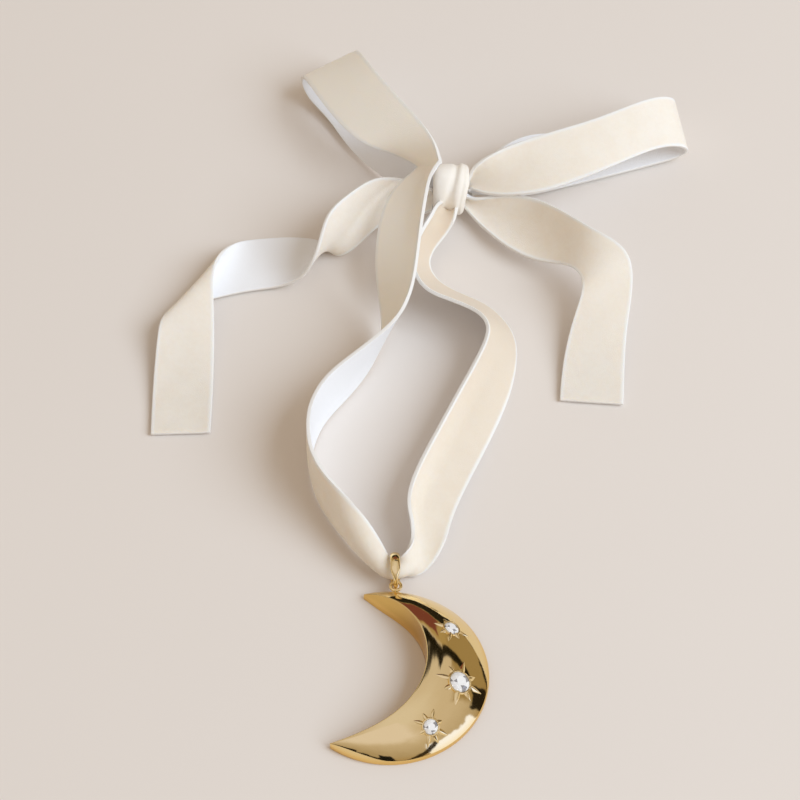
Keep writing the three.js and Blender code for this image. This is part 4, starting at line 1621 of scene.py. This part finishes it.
@dataclass
class Studio:
    """Table, soft window light, surroundings and camera.

    The room is a stand-in: mirror rays see it, the camera sees a plain pale backdrop, and all other
    rays see an even warm fill.
    """

    camera_target: tuple = (-7.5, -2.5, 0.0)
    camera_distance: float = 780.0
    camera_height: float = 53.0
    lens: float = 135.0
    window_direction: tuple = (0.70, -0.25, 0.67)
    window_distance: float = 2.2
    window_size: float = 1.6
    window_power: float = 43.0
    window_colour: tuple = (0.74, 0.865, 1.0)
    fill_strength: float = 0.52
    fill_colour: tuple = (1.0, 0.845, 0.68, 1.0)
    backdrop_colour: tuple = (0.79, 0.735, 0.685, 1.0)
    table_reach: float = 2.5
    table_clearance: float = 0.00003
    low_wall: tuple = (0.38, 0.31, 0.22, 1.0)
    high_wall: tuple = (0.60, 0.545, 0.54, 1.0)
    wall_range: tuple = (-8.0, 44.0)
    ceiling: tuple = (0.70, 0.68, 0.76, 1.0)
    ceiling_range: tuple = (50.0, 80.0)
    room_ripple: float = 7.0
    room_shapes: tuple = (
        RoomShape("ceiling over the camera", (-170, -60), (48, 88), (0.74, 0.72, 0.86, 1.0), 22.0),
        RoomShape("side wall", (13, 60), (-14, 41), (0.34, 0.26, 0.145, 1.0), 7.0),
        RoomShape("back wall", (60, 135), (-14, 46), (0.40, 0.31, 0.17, 1.0), 5.0),
        RoomShape("far wall in shade", (55, 130), (-14, 24), (0.02, 0.017, 0.012, 1.0), 3.0),
        RoomShape("maroon cloth", (68, 110), (28, 43), (0.18, 0.058, 0.05, 1.0), 2.5),
        RoomShape("picture rail", (60, 96), (50.5, 56), (0.012, 0.01, 0.006, 1.0), 1.5),
        RoomShape("sloping beam", (22, 62), (19, 25), (0.012, 0.01, 0.006, 1.0), 1.5, 0.72),
        RoomShape("skirting", (12, 60), (-2, 0.5), (0.02, 0.016, 0.012, 1.0), 1.0),
        RoomShape("window frame", (5, 17), (2, 20), (0.02, 0.016, 0.012, 1.0), 2.0),
        RoomShape("window", (-52, -4), (-3, 20), (1.04, 1.2, 1.95, 1.0), 2.5, -0.05),
        RoomShape("curtain edge", (-80, -42), (-2, 1.5), (0.03, 0.022, 0.012, 1.0), 1.2, 0.55),
        RoomShape("table edge", (-160, -60), (-3, 2.5), (0.025, 0.02, 0.012, 1.0), 1.2),
        RoomShape("chair back", (-97, -86), (0, 9), (0.012, 0.012, 0.012, 1.0), 1.5),
        RoomShape("chair seat", (-135, -120), (-3, 6), (0.02, 0.016, 0.012, 1.0), 2.0),
    )

    def build_table(self, finish: bpy.types.Material) -> bpy.types.Object:
        """Builds the tabletop.

        Args:
            finish: The table material.

        Returns:
            The table object.
        """
        shape = grid_from(2, 2)
        move(shape, Matrix.Scale(self.table_reach, 4))
        bmesh.ops.translate(shape, vec=(0, 0, -self.table_clearance), verts=shape.verts[:])
        table = finish_mesh("tabletop", shape, [finish])
        return table

    def build_window(self) -> None:
        """Builds the soft window light, which mirrors don't show."""
        lamp = bpy.data.lights.new("window_light", "AREA")
        lamp.shape = "SQUARE"
        lamp.size = self.window_size
        lamp.energy = self.window_power
        lamp.color = self.window_colour
        window = bpy.data.objects.new("window_light", lamp)
        direction = Vector(self.window_direction).normalized()
        window.location = direction * self.window_distance
        window.visible_glossy = False
        window.rotation_euler = direction.to_track_quat("Z", "Y").to_euler()
        bpy.context.scene.collection.objects.link(window)

    def build_surroundings(self) -> None:
        """Builds the room: even fill for matt surfaces and a plain room for the gold to mirror."""
        world = bpy.data.worlds.new("room")
        bpy.context.scene.world = world
        world.use_nodes = True
        board = NodeBoard(world.node_tree)
        room = self._mirrored_room(board)
        path = board.add("ShaderNodeLightPath").outputs
        fill = board.add("ShaderNodeBackground", {0: self.fill_colour, 1: self.fill_strength})
        mirrored = board.add("ShaderNodeBackground", {0: room, 1: 1.0})
        backdrop = board.add("ShaderNodeBackground", {0: self.backdrop_colour, 1: 1.0})
        direct = board.math("LESS_THAN", path["Diffuse Depth"], 0.5)
        shiny = board.math("MAXIMUM", path["Is Glossy Ray"], path["Is Transmission Ray"])
        shiny = board.math("MULTIPLY", shiny, direct)
        lit = board.add(
            "ShaderNodeMixShader",
            {0: shiny, 1: fill.outputs[0], 2: mirrored.outputs[0]},
        )
        seen = board.add(
            "ShaderNodeMixShader",
            {0: path["Is Camera Ray"], 1: lit.outputs[0], 2: backdrop.outputs[0]},
        )
        board.add("ShaderNodeOutputWorld", {0: seen.outputs[0]})

    def _mirrored_room(self, board: NodeBoard) -> bpy.types.NodeSocket:
        """Paints the room that polished metal shows: walls, a low window and a few dark shapes.

        Args:
            board: The world's board.

        Returns:
            The room's colour socket.
        """
        ripple = board.cloud(5.0, 3.0, Roughness=0.55, Vector=board.place["Generated"])
        wobble = board.math("MULTIPLY_ADD", ripple, 2 * self.room_ripple, -self.room_ripple)
        way = board.axes("Generated")
        degrees = math.degrees(1)
        up = board.math("MULTIPLY", board.math("ARCSINE", way[2]), degrees)
        up = board.math("ADD", up, wobble)
        turn = board.math("MULTIPLY_ADD", board.math("ARCTAN2", way[1], way[0]), degrees, wobble)
        walls = board.mix(board.ramp(up, *self.wall_range), self.low_wall, self.high_wall)
        room = board.mix(board.ramp(up, *self.ceiling_range), walls, self.ceiling)
        for shape in self.room_shapes:
            level = up
            if shape.climb:
                past_limit = board.math("SUBTRACT", turn, shape.turn[0])
                level = board.math("MULTIPLY_ADD", past_limit, -shape.climb, up)
            within_turn = self._between(board, turn, shape.turn, shape.softness)
            within_height = self._between(board, level, shape.up, shape.softness)
            mask = board.math("MULTIPLY", within_turn, within_height)
            room = board.mix(mask, room, shape.colour, label=shape.name)
        return room

    def _between(
        self, board: NodeBoard, value: Level, limits: tuple[float, float], softness: float
    ) -> bpy.types.NodeSocket:
        """Returns a socket that is 1 between two limits and falls to 0 over the softness.

        Args:
            board: The world's board.
            value: The angle socket in degrees.
            limits: Lower and upper limit in degrees.
            softness: Width of each fall in degrees.

        Returns:
            The mask socket.
        """
        rise = board.ramp(value, limits[0] - softness, limits[0])
        fall = board.ramp(value, limits[1], limits[1] + softness)
        return board.math("MULTIPLY", rise, board.math("SUBTRACT", 1.0, fall))

    def build_camera(self) -> None:
        """Builds the camera at the photograph's place."""
        data = bpy.data.cameras.new("camera")
        data.lens = self.lens
        data.sensor_width = 36.0
        data.clip_start = 0.01
        data.clip_end = 20.0
        camera = bpy.data.objects.new("camera", data)
        angle = math.radians(self.camera_height)
        offset = Vector((0.0, -math.cos(angle), math.sin(angle))) * self.camera_distance
        camera.location = (Vector(self.camera_target) + offset) * MM
        camera.rotation_euler = (math.pi / 2 - angle, 0.0, 0.0)
        bpy.context.scene.collection.objects.link(camera)
        bpy.context.scene.camera = camera


def ribbon_lengths() -> list[RibbonLength]:
    """Returns the four visible lengths of ribbon, the knot apart."""
    return [
        RibbonLength(
            "left_and_hanging_loop_ribbon",
            ("ribbon_left_loop", "ribbon_hanging_loop"),
            LEFT_AND_HANGING_LOOP,
            Hold.FOLDED,
            ["ribbon_knot", "bail_ring"],
            seed=1.3,
        ),
        RibbonLength(
            "right_loop_ribbon",
            ("ribbon_right_loop",),
            RIGHT_LOOP,
            Hold.FOLDED,
            ["ribbon_knot"],
            seed=8.7,
        ),
        RibbonLength(
            "right_tail_ribbon",
            ("ribbon_right_tail",),
            RIGHT_TAIL,
            Hold.LAID,
            ["ribbon_knot"],
            seed=12.9,
        ),
        RibbonLength(
            "left_tail_ribbon",
            ("ribbon_left_tail",),
            LEFT_TAIL,
            Hold.LAID,
            ["ribbon_knot"],
            seed=17.4,
        ),
    ]


def star_settings(crescent: Crescent) -> list[StarSetting]:
    """Returns the three settings.

    Args:
        crescent: The crescent that carries them.

    Returns:
        Top, middle and bottom settings.
    """
    small = {"diameter": 3.7, "short_ray": 3.5, "ray_width": 1.35}
    large = {"diameter": 5.2, "short_ray": 4.8, "ray_width": 1.6}
    return [
        StarSetting("top", "crystal_top", crescent, 0.33, 0.53, long_ray=4.6, **small),
        StarSetting("middle", "crystal_middle", crescent, -0.044, 0.57, long_ray=6.4, **large),
        StarSetting("bottom", "crystal_bottom", crescent, -0.382, 0.625, long_ray=4.5, **small),
    ]


def dress_back_plate(gold: bpy.types.Material) -> bpy.types.Object:
    """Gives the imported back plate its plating.

    Args:
        gold: The plating.

    Returns:
        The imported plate.
    """
    plate = bpy.data.objects["moon_back_plate"]
    plate.data.materials.clear()
    plate.data.materials.append(gold)
    return plate


def report(piece: bpy.types.Object) -> None:
    """Logs one finished piece."""
    LOG.info("%s: %d faces before its modifiers", piece.name, len(piece.data.polygons))


def build_ribbon() -> None:
    """Builds the four lengths of ribbon and the knot."""
    pile, back, edge = VelvetPile().build(), SatinBack().build(), CutEdge().build()
    # The long strip's pile has painted light along its first part and painted shade along its last.
    long_pile = VelvetPile(
        "velvet_pile_long",
        colour=(0.87, 0.80, 0.71, 1.0),
        crushed=(0.84, 0.755, 0.645, 1.0),
        painted_light_range=(8.5, 11.5),
        against_nap_range=(16.5, 21.5),
    ).build()
    # A paler copy of the pile for the knot: painted light.
    knot_painted_light_pile = VelvetPile(
        "velvet_pile_knot_painted_light",
        colour=(0.955, 0.90, 0.825, 1.0),
        crushed=(0.925, 0.86, 0.77, 1.0),
        light_through=0.1,
    ).build()
    for length in ribbon_lengths():
        spans_two_loops = len(length.nodes) > 1
        report(length.build([long_pile if spans_two_loops else pile, back, edge]))
    report(Knot().build([knot_painted_light_pile, back, edge]))


def build_moon() -> None:
    """Builds the crescent with its stars and eye, the ring and the back plate's plating."""
    gold = PolishedGold().build()
    # Deeper gold for the inner wall: a painted reflection of the shadow the wall mirrors.
    wall_gold = PolishedGold(
        "wall_gold",
        colour=(0.77, 0.51, 0.17, 1.0),
        warm=(0.74, 0.48, 0.14, 1.0),
        roughness=0.12,
    ).build()
    bright, foil = ClearCrystal().build(), SilverFoil().build()
    # A dark copy of the crystal for a few crown facets: a painted dark reflection.
    shaded = ClearCrystal("shaded_crystal", (0.40, 0.38, 0.38, 1.0), transmission=0.4).build()
    crescent = Crescent()
    settings = star_settings(crescent)
    report(crescent.build(gold, wall_gold, [setting.seat() for setting in settings]))
    for setting in settings:
        report(setting.build_collar(gold))
        report(setting.build_foil(foil))
        report(setting.build_crystal(bright, shaded))
    report(HangingEye().build(gold))
    report(BailRing().build(gold))
    report(dress_back_plate(gold))


def main() -> None:
    """Builds the scene in order."""
    logging.basicConfig(level=logging.INFO)
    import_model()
    bpy.context.scene.view_settings.view_transform = "Standard"

    studio = Studio()
    studio.build_camera()
    build_ribbon()
    build_moon()
    report(studio.build_table(PaleTable().build()))
    studio.build_window()
    studio.build_surroundings()

    LOG.info("scene ready")


if __name__ == "__main__":
    main()
